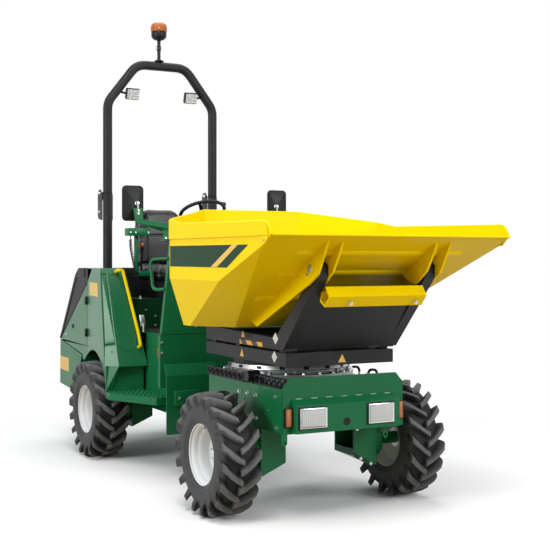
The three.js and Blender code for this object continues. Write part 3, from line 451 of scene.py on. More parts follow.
# %% Casing and bars
bars_a_side = 18
casing = [(172, 93), (176, 100), (186, 104), (205, 110), (209, 113.5), (214, 111.5), (236, 115), (262, 114),
    (282, 106), (298, 97), (310, 84), (317, 60), (319, 0)]
lining = [(172, 75), (200, 85), (260, 95), (285, 80), (300, 0)]
# stations along one bar: across, turn in degrees, top radius, foot radius, half widths at top and foot
stations = [(-9, 0, 353.5, 312, 14, 19), (24, 3.2, 355, 312, 15, 21), (62, 8.2, 353.5, 308, 17, 24),
    (96, 13.2, 350, 292, 19, 27), (116, 16.4, 344, 278, 21, 29), (122.6, 18.0, 328, 264, 20, 28),
    (122.8, 18.8, 302, 250, 17, 24), (121.8, 19.4, 282, 240, 11, 16)]


def across_tread(section):
    """A section from one edge, over the middle and back to the other edge, right side first."""
    return [(r, -h) for r, h in section] + [(r, h) for r, h in reversed(section[:-1])]


def tread_bar():
    """One rubber bar, its sections extruded from the middle of the tread to the side wall."""
    bar, face = bmesh.new(), None
    for across, turn, top, foot, half_top, half_foot in stations:
        lean = 0 if across < 100 else (across - 100) / 23
        ring = []
        for radius, half_width in ((foot, -half_foot), (foot, half_foot), (top, half_top),
                (top, -half_top)):
            angle = math.radians(turn) + half_width / radius
            side = across - (14 + 5 * lean if radius == foot and across > 90 else 0)
            ring.append(Vector((radius * math.cos(angle) / 1000, radius * math.sin(angle) / 1000,
                side / 1000)))
        if face is None:
            face = bar.faces.new([bar.verts.new(c) for c in ring])
            continue
        grown = bmesh.ops.extrude_face_region(bar, geom=[face])["geom"]
        face = [g for g in grown if isinstance(g, bmesh.types.BMFace)][0]
        for vert, place in zip(face.verts, ring):
            vert.co = place
    bmesh.ops.recalc_face_normals(bar, faces=bar.faces)
    soften(bar, bar.edges[:], 0.0022)
    return bar


whole = [lathe(across_tread(casing) + across_tread(lining)[::-1] + [(casing[0][0], -casing[0][1])], 72)]
bar = tread_bar()
for side in (1, -1):
    for step in range(bars_a_side):
        copy = bar.copy()
        if side < 0:
            bmesh.ops.scale(copy, vec=(1, 1, -1), verts=copy.verts)
            bmesh.ops.reverse_faces(copy, faces=copy.faces)
        angle = 2 * math.pi * (step + (0.5 if side < 0 else 0)) / bars_a_side
        whole.append(moved(copy, Matrix.Rotation(angle, 4, "Z")))
bar.free()
whole = gather(whole)
paler_share = whole.verts.layers.float.new("paler_share")
# The outer faces of the bars are drawn in paler grey, and the side walls a little paler.
for vert in whole.verts:
    radius = math.hypot(vert.co.x, vert.co.y)
    side_wall = 0.30 if radius < 0.30 and abs(vert.co.z) > 0.09 else 0
    vert[paler_share] = max(side_wall, min(1, max(0, (radius - 0.325) / 0.02)))
one_tyre = bpy.data.meshes.new("one_tyre")
whole.to_mesh(one_tyre)
whole.free()
print("one tyre:", len(one_tyre.polygons), "faces")

# %% [markdown]
# ## Rims
# The rim is a pressed steel wheel: a rolled well with a lip each side, a dished centre and eight
# nuts round the hub. It is one section spun round the axle, with the wheel motor's hub inside it.

# %% Rims, nuts and valve
rim_outline = [(177.5, -100), (177.8, -95), (172, -88), (163, -83), (156, -72), (154, -52), (146, -44),
    (141, -28), (138, 14), (124, 24), (104, 22), (92, 16), (60, 16), (60, 24), (92, 26), (104, 31),
    (126, 33), (142, 28), (150, 50), (162, 82), (172, 90), (177.8, 96), (177.5, 100), (170, 96), (170, -96),
    (177.5, -100)]
hub_outline = [(0, 40), (24, 38), (30, 30), (31, -6), (57, -10), (59, -20), (0, -20)]


def nut(radius, height=0.9):
    """A hexagon head on a washer, standing on the XY plane."""
    made = bmesh.new()
    bmesh.ops.create_cone(made, cap_ends=True, segments=16, radius1=radius * 1.25, radius2=radius * 1.2,
        depth=radius * 0.25, matrix=Matrix.Translation((0, 0, radius * 0.125)))
    bmesh.ops.create_cone(made, cap_ends=True, segments=6, radius1=radius, radius2=radius * 0.92,
        depth=radius * height, matrix=Matrix.Translation((0, 0, radius * (0.25 + height / 2))))
    return made


for end, wheel_x in (("front", 0), ("rear", -wheelbase)):
    for hand, sign in hands:
        body, tail = f"wheel_{end}_{hand}", f"{end}_{hand}"
        # +Z of the part becomes the wheel's outer side, and +X of the part its front
        middle = at(wheel_x, sign * wheel_y, wheel_z)
        turn = Matrix(((1, 0, 0), (0, 0, sign), (0, 1, 0))).to_4x4()
        outward = Matrix.Translation(middle) @ turn
        tread = bmesh.new()
        tread.from_mesh(one_tyre)
        moved(tread, outward)
        disc = moved(lathe(rim_outline, 64), outward @ Matrix.Rotation(math.pi, 4, "X"))
        if sign > 0:
            for mirrored in (tread, disc):
                bmesh.ops.reverse_faces(mirrored, faces=mirrored.faces)
        finished(f"tread_{tail}", tread, tyre_rubber, body, [f"tyre_{tail}"], crease=28)
        finished(f"wheel_disc_{tail}", disc, rim_enamel, body, [f"rim_{tail}"], crease=30)
        outside = facing((0, sign, 0), middle)
        eighths = [k * math.pi / 4 for k in range(8)]
        nuts = [put(nut(0.011), (0.078 * math.cos(a), 0.078 * math.sin(a), -0.016)) for a in eighths]
        fixings = moved(gather(nuts + [lathe(hub_outline)]), outside)
        finished(f"wheel_nuts_{tail}", fixings, zinc_plate, body)
        stem = moved(lathe([(0, 0), (6, 0), (6, 30), (4.5, 32), (4.5, 46), (0, 47)], 12),
            outside @ Matrix.Rotation(math.radians(100), 4, "Z") @ Matrix.Translation((0.148, 0, 0.020)))
        finished(f"wheel_valve_{tail}", stem, hose_rubber, body)
print("four wheels with treads")

# %% [markdown]
# ## Skip: folded rim band, pressed ribs and film
# A second strip of plate doubles the skip's rim, where the loader's bucket hits it. It stands 8 mm
# proud of the walls. Each stretch is a flat sheet that follows the rim above and a level line
# below, so it is cut to an outline rather than drawn as a box.

# %% Rim band
band_foot = 1585
rim = [(862, 1656), (-205, 1672), (-390, 1702)]
strips = []
for sign in (-1, 1):
    side = [(892, band_foot), (880, 1628), (858, 1656)] + rim[1:] + [(-392, band_foot)]
    strips.append(wall(sign * skip_y, side, sign * 0.008, 0.002))
    turn = [(-388, sign * 752, band_foot), (-388, sign * 752, 1702), (-790, sign * 350, 1782),
        (-790, sign * 350, band_foot)]
    strips.append(sheet(turn, Vector((-0.0055, sign * 0.0055, 0)), 0.002))
back = [(-790, -354, band_foot), (-790, -354, 1782), (-790, 354, 1782), (-790, 354, band_foot)]
strips.append(sheet(back, (-0.008, 0, 0), 0.002))
finished("rim_band", strips, yellow_enamel, "skip")
print("rim band foot at", band_foot, "mm")

# %% [markdown]
# The rim's top is folded over for stiffness, and reads as a bright rounded line. A tube of small
# radius along the rim gives it. The curve is made a mesh, and so are the weld beads along the seams.


# %% Rolled edges and weld beads
def wire_curve(name, points, radius, resolution):
    """A round wire along a row of points, as a curve object that isn't in the scene yet."""
    curve = bpy.data.curves.new(name, "CURVE")
    curve.dimensions = "3D"
    curve.bevel_depth = radius
    curve.bevel_resolution = resolution
    curve.use_fill_caps = True
    spline = curve.splines.new("POLY")
    spline.points.add(len(points) - 1)
    for place, vert in zip(points, spline.points):
        vert.co = (*place, 1)
    return bpy.data.objects.new(name, curve)


def bent_tube(points, radius, sides=6, bend=0.0):
    """A tube along straight runs, its corners rounded by a bend radius."""
    path = [Vector(p) for p in points]
    route = []
    for i, point in enumerate(path):
        if bend and 0 < i < len(path) - 1:
            back, on = path[i - 1] - point, path[i + 1] - point
            reach = min(bend, back.length * 0.49, on.length * 0.49)
            start, end = point + back.normalized() * reach, point + on.normalized() * reach
            route += [start.lerp(point, t).lerp(point.lerp(end, t), t) for t in (0, 0.2, 0.4, 0.6, 0.8,
                1.0)]
        else:
            route.append(point)
    carrier = wire_curve("tube", route, radius, max(1, sides // 4))
    made = bmesh.new()
    made.from_mesh(carrier.to_mesh())
    carrier.to_mesh_clear()
    curve = carrier.data
    bpy.data.objects.remove(carrier)
    bpy.data.curves.remove(curve)
    return made


def pipe(points, *rest):
    """A bent tube whose points are in millimetres from the axle."""
    return bent_tube([at(*p) for p in points], *rest)


edge = []
for sign in (-1, 1):
    edge.append(pipe([(914, sign * 748, 1588), (884, sign * skip_y, 1640), (858, sign * skip_y, 1657),
        (-205, sign * skip_y, 1673), (-390, sign * skip_y, 1703), (-790, sign * 350, 1783)], 0.007, 8,
        0.02))
edge.append(pipe([(-790, -350, 1783), (-790, 350, 1783)], 0.007, 8))
edge.append(pipe([(920, -746, 1590), (920, 746, 1590)], 0.007, 8))
for sign in (-1, 1):
    edge.append(pipe([(-788, sign * 348, 1778), (-784, sign * 349, 1352)], 0.003))
    edge.append(pipe([(-390, sign * 749, 1580), (-390, sign * 749, 1350)], 0.003))
finished("skip_edges", edge, yellow_enamel, "skip")


rise = 0.5405  # of the skip's front slope, millimetres up for each millimetre forwards


def slope_z(x):
    return 1068 + rise * (x + 64)


print("slope meets the lip at", round(slope_z(922)), "mm")

# %% [markdown]
# Three ribs are pressed into plates and welded across the slope. They are half round, with
# rounded ends. A cylinder with domed ends, sunk to half its height in the slope, is that shape.


# %% Ribs across the slope
def rib(x, y_low, y_high, radius=0.020):
    made = bmesh.new()
    bmesh.ops.create_uvsphere(made, u_segments=16, v_segments=12, radius=radius)
    span = (y_high - y_low) / 2000 - radius * 0.5
    bmesh.ops.rotate(made, cent=(0, 0, 0), matrix=Matrix.Rotation(math.pi / 2, 3, "X"), verts=made.verts)
    for vert in made.verts:
        vert.co.y += span if vert.co.y > 1e-6 else (-span if vert.co.y < -1e-6 else 0)
    bmesh.ops.scale(made, vec=(1.5, 1, 0.8), verts=made.verts)
    lean = Matrix.Rotation(-math.atan(rise), 4, "Y")
    sunk = 2
    middle = at(x + sunk * 0.4755, (y_low + y_high) / 2, slope_z(x) - sunk * 0.8797)
    return moved(made, Matrix.Translation(middle) @ lean)


ribs = [rib(744, -518, 540), rib(545, -506, 506), rib(279, -506, 506)]
finished("slope_ribs", ribs, yellow_enamel, "skip")
print("three ribs across the slope")

# %% [markdown]
# The tipping pins pass through the lugs with a round washer plate and one keeper bolt on the outer
# face. Under each end of the lip a small pierced lug takes a chain for lashing the skip down.

# %% Pins, keepers and lashing lugs
pins, yellow_bits = [], []
for sign in (-1, 1):
    outer = facing((0, sign, 0), at(692, sign * frame_y, 1418))
    pins.append(moved(lathe([(0, 12), (12, 12), (14, 10), (22, 10), (23, 8), (23, -1), (0, -1)], 32),
        outer))
    pins.append(put(nut(0.008), at(662, sign * 399, 1388), (0, sign, 0)))
    yellow_bits.append(moved(lathe([(0, 5), (34, 5), (36, 3), (36, -2), (0, -2)], 32), outer))
    lug = ((805, 1584), (832, 1542), (853, 1542), (902, 1586))
    yellow_bits.append(wall(sign * 744, lug, sign * 0.012, 0.002))
    pins.append(put(lathe([(0, 0.5), (9, 0.5), (9, -1), (0, -1)], 20), at(844, sign * 756.5, 1563),
        (0, sign, 0)))
finished("tipping_pins", pins, turned_steel, "skip")
finished("lashing_lugs", yellow_bits, yellow_enamel, "skip")

# %% [markdown]
# A dark green film band runs along each side wall, crossed by one gold bar at 45 degrees. It is
# left plain. The film is a thin sheet a fraction of a millimetre off the paint.

# %% Side film
dark, gold = [], []
for sign in (-1, 1):
    on_wall, thin = sign * (skip_y + 0.6), sign * 0.0006
    dark.append(wall(on_wall, ((-386, 1424), (-386, 1546), (662, 1543), (405, 1422)), thin, 0))
    gold.append(wall(on_wall + sign, ((200, 1424), (468, 1543), (543, 1543), (281, 1424)), thin, 0))
finished("side_film", dark, stripe_film, "skip")
finished("side_film_bar", gold, gold_film, "skip")
print("film band", 1546 - 1424, "mm high")


# %% [markdown]
# ## Bolts
# The machine is bolted together in dozens of places, and the zinc heads catch the light. One
# function sets a row of them: a hexagon on a washer, turned to face out of its plate.


# %% A row of bolts
def bolts(name, body, spots, direction, radius=10, finish=None):
    """Bolt heads at points in millimetres from the axle, all facing one way."""
    heads = [put(nut(radius / 1000), at(*spot), direction) for spot in spots]
    return finished(name, heads, finish or zinc_plate, body)


for hand, sign in hands:
    chassis_spots = ((-155, 682), (-48, 682), (56, 680), (62, 549), (-35, 549), (-150, 549), (308, 701),
        (314, 527))
    bolts(f"chassis_bolts_{hand}", "front_unit", [(x, sign * frame_y, z) for x, z in chassis_spots],
        (0, sign, 0), 11)
    bolts(f"chassis_dowels_{hand}", "front_unit", [(212, sign * frame_y, 614)], (0, sign, 0), 6)
    bolts(f"tower_bolts_{hand}", "rear_unit", [(-1180, sign * 484, 903), (-1180, sign * 484, 832),
        (-1180, sign * 234, 1007)], (1, 0, 0), 8)
    bolts(f"stone_guard_bolts_{hand}", "rear_unit", [(-1016, sign * 423, 541)], (1, 0, 0), 9)
    near, far = sorted((sign * 459, sign * 270))
    guard_foot = block((-1030, near, 491), (-1016, far, 590), 0.006, 3)
    finished(f"guard_foot_{hand}", guard_foot, green_enamel, "rear_unit")
flange = sheet([(113, 233, 302), (113, 369, 232), (113, 369, 205), (113, 233, 276)], (0.006, 0, 0), 0.0015)
finished("leg_flange", flange, dark_green_enamel, "front_unit")
bolts("leg_flange_bolts", "front_unit", [(119, 276, 266), (119, 348, 230)], (1, 0, 0), 8)
seat_spots = [(y, 1086) for y in (-299, 299)] + [(y, z) for y in (-223, 223) for z in (1039, 971)]
bolts("seat_base_bolts", "rear_unit", [(-1960, y, z) for y, z in seat_spots], (1, 0, 0), 8)
bolts("guard_beam_bolts", "carriage", [(726, -173, 1233), (726, 249, 1233)], (0.9, 0, -0.45), 10)
print("bolts set")

# %% [markdown]
# ## Front frame
# A cover strip laps the joint of each side plate. The lower front corner shows a fold. Both
# lamps sit in bright bezels with black gaskets, set into the lamp bar, and their lenses are fluted.

# %% Side plate laps and lamp bar
laps = []
for sign in (-1, 1):
    side_y = sign * frame_y
    laps.append(wall(side_y, ((119, 500), (119, 742), (380, 742), (380, 500)), sign * 0.0035, 0.0012))
    laps.append(wall(side_y, ((-590, 712), (-590, 744), (112, 744), (112, 712)), sign * 0.003, 0.001))
finished("side_plate_laps", laps, green_enamel, "front_unit")
bezels, gaskets, lenses = [], [], []
for hand, (y_low, y_high) in (("right", (-331, -144)), ("left", (116, 303))):
    low, high = at(435.5, y_low, 524), at(439, y_high, 650)
    gaskets.append(rounded_block(low, high, 0.0016))
    frame_low, frame_high = at(437, y_low + 7, 531), at(451, y_high - 7, 643)
    ring = rounded_block(frame_low, frame_high, 0.004)
    front = [f for f in ring.faces if f.normal.x > 0.95 and f.calc_area() > 0.008]
    bmesh.ops.inset_region(ring, faces=front, thickness=0.011, depth=0)
    bmesh.ops.translate(ring, vec=(-0.007, 0, 0), verts=list({v for f in front for v in f.verts}))
    bezels.append(ring)
    lenses.append(block((442, y_low + 17, 541), (449, y_high - 17, 633), 0.003))
finished("lamp_gaskets", gaskets, grip_plastic, "front_unit")
finished("lamp_bezels", bezels, hard_chrome, "front_unit")
finished("lamp_lenses", lenses, lamp_lens, "front_unit", ["headlight_right", "headlight_left"])
# The weld dots are real beads, but their pale colour is a painted highlight on the green bar.
dots = []
for k in range(7):
    dots.append(block((385, -318 + 98 * k, 689), (389, -278 + 98 * k, 692), 0.001, 1))
finished("stitch_weld_highlights", dots, rim_enamel, "front_unit")
socket = put(lathe([(0, 0.4), (17, 0.4), (19, 2), (22, 2), (23, 0), (17, -1), (0, -1)], 28),
    at(435.5, -15, 553), (1, 0, 0))
finished("socket_cover", socket, hose_rubber, "front_unit")
bolts("lamp_bar_bolts", "front_unit", [(425, 58, 502)], (0.4, 0, -1), 8)
print("lamp bar dressed")

# %% [markdown]
# The turn lamps are amber lenses in black bases. A base is a rounded block, and the lens is a
# smaller one, inset and crowned so that its edge rolls over.


# %% Amber lamps
def amber_lamp(name, body, low, high, outward, stands_for):
    low, high, out = Vector(low), Vector(high), Vector(outward)
    base = rounded_block(low, high, 0.003)
    inset = Vector([0 if along else 0.005 for along in out])
    lens = rounded_block(low + inset + out * 0.006, high - inset + out * 0.006, 0.005, 3)
    finished(name + "_base", base, grip_plastic, body)
    finished(name + "_lens", lens, amber_lens, body, [stands_for])


for hand, sign in hands:
    y = sorted((sign * 347, sign * 392))
    amber_lamp(f"turn_lamp_{hand}", "front_unit", at(385.5, y[0], 537), at(402, y[1], 645), (1, 0, 0),
        f"indicator_{hand}")
    y = sorted((sign * 384.5, sign * 398))
    amber_lamp(f"marker_lamp_{hand}", "rear_unit", at(-1480, y[0], 770), at(-1400, y[1], 850), (0, sign, 0),
        f"side_marker_{hand}")

# %% [markdown]
# ## Carriage and cradle
# The carriage turns over the frame. Its dark plates carry plain triangles and diamonds of film
# where the real ones carry signs, rubber stop pads at the cradle's feet and a hazard strip.

# %% Film shapes, pads and hazard strip
gold_bits, grey_bits = [], []
forwards, left, upwards = Vector((1, 0, 0)), Vector((0, 1, 0)), Vector((0, 0, 1))
triangle, diamond = ((-0.5, -0.4), (0.5, -0.4), (0, 0.5)), ((-0.5, 0), (0, -0.5), (0.5, 0), (0, 0.5))


def film_shape(outline, point, across, up, size, outward):
    """A flat shape of film with its middle at a point."""
    return cut_sheet([point + across * (size * a) + up * (size * b) for a, b in outline],
        outward * 0.0006, 0)


for sign in (-1, 1):
    for bits, outline, size, x, y, z in (
            (gold_bits, triangle, 0.052, -212, 357.4, 903), (grey_bits, diamond, 0.068, 207, 357.4, 912),
            (gold_bits, triangle, 0.046, -155, 378.6, 1021), (grey_bits, diamond, 0.068, 259, 378.6, 1021)):
        bits.append(film_shape(outline, at(x, sign * y, z), forwards, upwards, size, left * sign))
gold_bits.append(film_shape(triangle, at(345.4, 7, 898), left, upwards, 0.052, forwards))
wall_up = Vector((292, 0, 337)).normalized()
wall_out = Vector((wall_up.z, 0, -wall_up.x))
gold_bits.append(film_shape(triangle, at(400, 0, 1026) + wall_out * 0.0008, left, wall_up, 0.05, wall_out))
finished("carriage_film_gold", gold_bits, gold_film, "carriage")
finished("carriage_film_grey", grey_bits, grey_film, "carriage")
pads = []
for y in (-330, 214):
    pads.append(block((318, y - 40, 953), (356, y + 40, 968), 0.003))
    pads.append(put(nut(0.011), at(336, y, 968), (0, 0, 1)))
finished("stop_pads", pads, hose_rubber, "carriage")
strip = block((-240, -358.8, 958), (60, -357.4, 984), 0.0003, 1)
finished("hazard_strip", strip, hazard_film, "carriage")
print("film shapes:", len(gold_bits) + len(grey_bits))

# %% [markdown]
# ## Roll bar, beacon and work lamps
# The bow folds back on two hinges. Each hinge has two cheek plates on the fixed post, one either
# side of the tube, so the tube can swing down between them.

# %% Hinge cheeks of the roll bar
for hand, sign in hands:
    cheeks, pins = [], []
    for off in (-42, 42):
        y = sign * post_y + off
        outline = ((-2405, 1768), (-2492, 1782), (-2506, 1812), (-2506, 1978), (-2488, 2006), (-2440, 2010),
            (-2405, 1972))
        cheeks.append(wall(y - 3, outline, 0.006, 0.0015))
    for z in (1980, 1835):
        for off in (-46, 46):
            side = 1 if off > 0 else -1
            pins.append(put(nut(0.011), at(-2452, sign * post_y + off, z), (0, side, 0)))
    finished(f"fold_cheeks_{hand}", cheeks, powder_coat, "rear_unit")
    finished(f"fold_pins_{hand}", pins, zinc_plate, "rear_unit")
    web = wall(sign * post_y - 8, ((-2434, 2016), (-2470, 2016), (-2434, 2080)), 0.016, 0.002)
    finished(f"fold_web_{hand}", web, powder_coat, "roll_bar")
print("fold hinges dressed")

# %% [markdown]
# The beacon is a turned part in three materials: a black stem and base, an amber dome whose inside
# is ribbed, and a wing screw. The dome's profile is a section spun round the stem's axis.

# %% Beacon
beacon_foot = at(-2400, -20, 3037.3)
stem = gather([lathe([(0, 1), (30, 1), (34, 4), (33, 10), (17, 16), (13.5, 24), (13.5, 85), (17, 88),
    (17, 125), (13.5, 128), (13.5, 165), (22, 172), (40, 177), (54, 190), (61, 204), (61, 234), (58, 239),
    (0, 239)], 40), rounded_block((-0.026, -0.034, 0), (0.026, 0.034, 0.007), 0.002), ])
finished("beacon_stem", put(stem, beacon_foot), grip_plastic, "roll_bar", ["beacon"])
dome = [(57, 237), (63.5, 240), (65.5, 248), (65.5, 272), (63, 286), (56, 299), (44, 307), (24, 310.5),
    (0, 311), (0, 306), (22, 305.5), (42, 302), (53, 295), (59, 284), (61, 270), (61, 248), (57, 237)]
dome = lathe(dome, 40)
finished("beacon_dome", put(dome, beacon_foot), amber_lens, "roll_bar")
glow_core = put(lathe([(0, 236), (34, 236), (36, 262), (26, 278), (0, 281)], 20), beacon_foot)
finished("beacon_reflector", glow_core, gold_film, "roll_bar")
wing = gather([rounded_block((-0.004, -0.003, 0), (0.004, 0.003, 0.026), 0.001),
    rounded_block((-0.002, -0.012, 0.016), (0.002, 0.012, 0.034), 0.0018)])
finished("beacon_wing_screw", put(wing, at(-2390, -30, 3143), (0.4, -1, 0)), zinc_plate, "roll_bar")

# %% [markdown]
# A work lamp is a cast housing with cooling fins behind, a clear window in front and nine small
# cup reflectors. It tips down towards the ground. It is built level round its own middle, then
# turned and moved in one step.


# %% Work lamps
def work_lamp(hand, sign):
    seat = Matrix.Translation(at(-2392, sign * 248, 2766)) @ Matrix.Rotation(math.radians(18), 4, "Y")
    housing = [rounded_block((-0.012, -0.053, -0.044), (0.020, 0.053, 0.044), 0.006, 2)]
    for k in range(7):
        y = -0.045 + 0.015 * k
        housing.append(rounded_block((-0.028, y - 0.002, -0.034), (-0.010, y + 0.002, 0.036), 0.0008, 1))
    finished(f"work_lamp_housing_{hand}", moved(gather(housing), seat), grip_plastic, "roll_bar",
        [f"work_light_{hand}"])
    cups = []
    for row in (-1, 0, 1):
        for column in (-1, 0, 1):
            cup = lathe([(0, 0.5), (5, 1), (10.5, 4), (12.5, 6.5), (12.5, 0), (0, 0)], 16)
            cups.append(put(cup, (0.0195, 0.029 * column, 0.0265 * row), (1, 0, 0)))
    finished(f"work_lamp_cups_{hand}", moved(gather(cups), seat), silvered_glass, "roll_bar")
    window = moved(rounded_block((0.021, -0.047, -0.038), (0.0255, 0.047, 0.038), 0.001, 1), seat)
    finished(f"work_lamp_window_{hand}", window, lamp_lens, "roll_bar")
    arm = pipe([(-2398, sign * 352, 2778), (-2398, sign * 322, 2772), (-2398, sign * 300, 2768)], 0.009, 8)
    finished(f"work_lamp_arm_{hand}", arm, powder_coat, "roll_bar")


for hand, sign in hands:
    work_lamp(hand, sign)
print("work lamps built")

# %% [markdown]
# ## Mirrors
# The mirror's back is a shallow moulded pyramid with rounded corners. A block gets its four long
# edges rounded, its front face is inset, and poking that face adds one vertex, which is pulled
# forward to the clamp. The glass faces the driver. A folded green arm carries it.


# %% Mirror heads and arms
def largest_front(made):
    return max((f for f in made.faces if f.normal.x > 0.9), key=lambda f: f.calc_area())


def mirror(hand, sign):
    near, far = sorted((sign * 492, sign * 649))
    head = plain_block(at(-1520, near, 1733), at(-1504, far, 1982))
    along = [e for e in head.edges if abs((e.verts[0].co - e.verts[1].co).normalized().x) > 0.9]
    soften(head, along, 0.030, 5)
    head.faces.ensure_lookup_table()
    rim = [f for f in head.faces if abs(f.normal.x) > 0.9]
    soften(head, list({e for f in rim for e in f.edges}), 0.004, 2)
    front = largest_front(head)
    bmesh.ops.inset_region(head, faces=[front], thickness=0.008, depth=0.003)
    front = largest_front(head)
    apex = bmesh.ops.poke(head, faces=[front], offset=0)["verts"][0]
    apex.co = at(-1478, sign * 549, 1855)
    finished(f"mirror_back_{hand}", head, grip_plastic, "rear_unit", [f"mirror_{hand}"],
        crease=18)
    glass = block((-1522.5, near + 8, 1741), (-1519, far - 8, 1974), 0.001)
    finished(f"mirror_glass_{hand}", glass, silvered_glass, "rear_unit")
    along_arm = Vector((-0.8916, sign * 0.4529, 0))
    out = Vector((0.4529, sign * 0.8916, 0))

    def on_arm(u, z, off=0):
        return at(-1215, sign * 412, z) + along_arm * (u / 1000) + out * (off / 1000)

    plates = [
        sheet([(-1462, sign * y, z) for y, z in ((584, 1822), (518, 1824), (511, 1761), (516, 1733),
            (556, 1713), (570, 1725))], (-0.006, 0, 0), 0.0015),
        cut_sheet([on_arm(0, 1676, 12), on_arm(0, 1713, 12), on_arm(262, 1744, 12), on_arm(330, 1742, 6),
            on_arm(292, 1718, 10)], out * 0.005, 0.0012),
        cut_sheet([on_arm(0, 1636, -26), on_arm(0, 1677, 14), on_arm(292, 1719, 12),
            on_arm(288, 1706, -26)], out * 0.004, 0.001),
        cut_sheet([on_arm(0, 1600.5, -3), on_arm(0, 1700, -3), on_arm(60, 1700, -3),
            on_arm(60, 1600.5, -3)], out * 0.006, 0.0015),
        rounded_block(on_arm(30, 1600.5, 0) - Vector((0.034, 0.022, 0)),
            on_arm(30, 1606, 0) + Vector((0.034, 0.022, 0)), 0.0015),
    ]
    finished(f"mirror_arm_{hand}", plates, green_enamel, "rear_unit")
    heads = [put(nut(0.007), at(-1462, sign * 547, z), (1, 0, 0)) for z in (1806, 1785)]
    heads.append(put(nut(0.010), on_arm(30, 1606, 0), (0, 0, 1)))
    ball = lathe([(0, 30), (9, 28), (13, 20), (13, 10), (17, 6), (17, 0), (0, 0)], 20)
    heads.append(put(ball, at(-1484, sign * 549, 1855), (1, 0, 0.2)))
    heads.append(pipe([(-1462, sign * 549, 1862), (-1464, sign * 549, 1812)], 0.0055, 8))
    finished(f"mirror_clamp_{hand}", heads, zinc_plate, "rear_unit")


for hand, sign in hands:
    mirror(hand, sign)
print("mirrors built")

# %% [markdown]
# ## Steering wheel
# The wheel is a soft black ring on three flat spokes, with a spinner knob for one-handed turns.
# A circle spun round Z gives the ring. All of it is built level, then leaned back with the column.

# %% Ring, spokes, boss and knob
ring_r = 162
wheel_seat = Matrix.Translation(at(-1594, 0, 1811)) @ Matrix.Rotation(-0.4538, 4, "Y")
tube = [a * math.pi / 6 for a in range(13)]
parts = [lathe([(ring_r + 13.5 * math.cos(a), 12.5 * math.sin(a)) for a in tube], 56)]
for k in range(3):
    spoke = rounded_block((0.018, -0.013, -0.009), (0.155, 0.013, -0.003), 0.0022)
    for vert in spoke.verts:
        vert.co.z += 0.006 * max(0, (vert.co.x - 0.05) / 0.105)
        vert.co.y *= 1.25 - 3.4 * max(0, vert.co.x - 0.03)
    parts.append(moved(spoke, Matrix.Rotation(math.radians(90 + 120 * k), 4, "Z")))
parts.append(lathe([(0, 12), (22, 12), (30, 8), (34, 0), (34, -12), (26, -33), (0, -33)], 32))
finished("steering_ring", moved(gather(parts), wheel_seat), grip_plastic, "handwheel",
    ["steering_wheel"])
knob = lathe([(0, 50), (13, 49), (19, 44), (21, 34), (19, 26), (10, 22), (7, 18), (7, 4), (0, 4)], 24)
finished("spinner_knob", moved(knob, wheel_seat @ Matrix.Translation((0.058, 0.151, 0))), hose_rubber,
    "handwheel")
print("steering wheel", 2 * ring_r, "mm across its rim's middle")

# %% [markdown]
# ## Seat padding
# The seat is foam under stitched black vinyl. A real cover is sewn a little small, so the foam
# swells between the seams. Cloth simulation with inner pressure does the same: a closed block is
# remeshed into small even faces, blown up for twenty frames with gravity off, and no point may
# move further than a cap. The seams are pressed in afterwards, because remeshing would lose them.
#
# Vinyl has an IOR near 1.5, and a fine leather grain of about 2 mm that breaks up its sheen.

# %% Vinyl
seat_vinyl = grained("seat_vinyl", "#151617", "#202123", 0.34, 3.0, 0.35, 0.002, 1.52, sheen=0.4)


# %% Pads from blocks
def padding(name, made, cap, seams, stands_for):
    mesh = bpy.data.meshes.new(name)
    made.to_mesh(mesh)
    made.free()
    pad = bpy.data.objects.new(name, mesh)
    scene.collection.objects.link(pad)
    grid = pad.modifiers.new("even faces", "REMESH")
    grid.mode = "VOXEL"
    grid.voxel_size = 0.006
    cloth = pad.modifiers.new("swell", "CLOTH")
    cloth.settings.use_pressure = True
    cloth.settings.uniform_pressure_force = 4
    cloth.settings.effector_weights.gravity = 0
    cloth.settings.tension_stiffness = 25
    cloth.settings.quality = 4
    start = [v.co.copy() for v in pad.evaluated_get(bpy.context.evaluated_depsgraph_get()).data.vertices]
    for step in range(1, 21):
        scene.frame_set(step)
    shape = bpy.data.meshes.new_from_object(pad.evaluated_get(bpy.context.evaluated_depsgraph_get()))
    scene.frame_set(1)
    pad.modifiers.clear()
    pad.data = shape
    for vert, place in zip(shape.vertices, start):
        move = vert.co - place
        if move.length > cap:
            vert.co = place + move.normalized() * cap
    softened = bmesh.new()
    softened.from_mesh(shape)
    for _ in range(3):
        bmesh.ops.smooth_vert(softened, verts=softened.verts, factor=0.5, use_axis_x=True, use_axis_y=True,
            use_axis_z=True)
    softened.normal_update()
    for vert in softened.verts:
        press = 0.0
        for test, depth, width in seams:
            away = abs(test(vert.co))
            if away < width:
                press = max(press, depth * (1 - (away / width) ** 2))
        vert.co -= vert.normal * press
    softened.to_mesh(shape)
    softened.free()
    shape.name = name
    shape.shade_smooth()
    shape.materials.clear()
    shape.materials.append(seat_vinyl)
    smooth = pad.modifiers.new("smooth", "SUBSURF")
    smooth.levels = smooth.render_levels = 1
    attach(pad, "rear_unit")
    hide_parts(*stands_for)
    print(name, len(shape.vertices), "vertices")
    return pad


def shaped_block(low, high, radius, cuts=10):
    made = rounded_block(low, high, radius, 4)
    bmesh.ops.subdivide_edges(made, edges=[e for e in made.edges if e.calc_length() > 0.05], cuts=cuts,
        use_grid_fill=True)
    return made


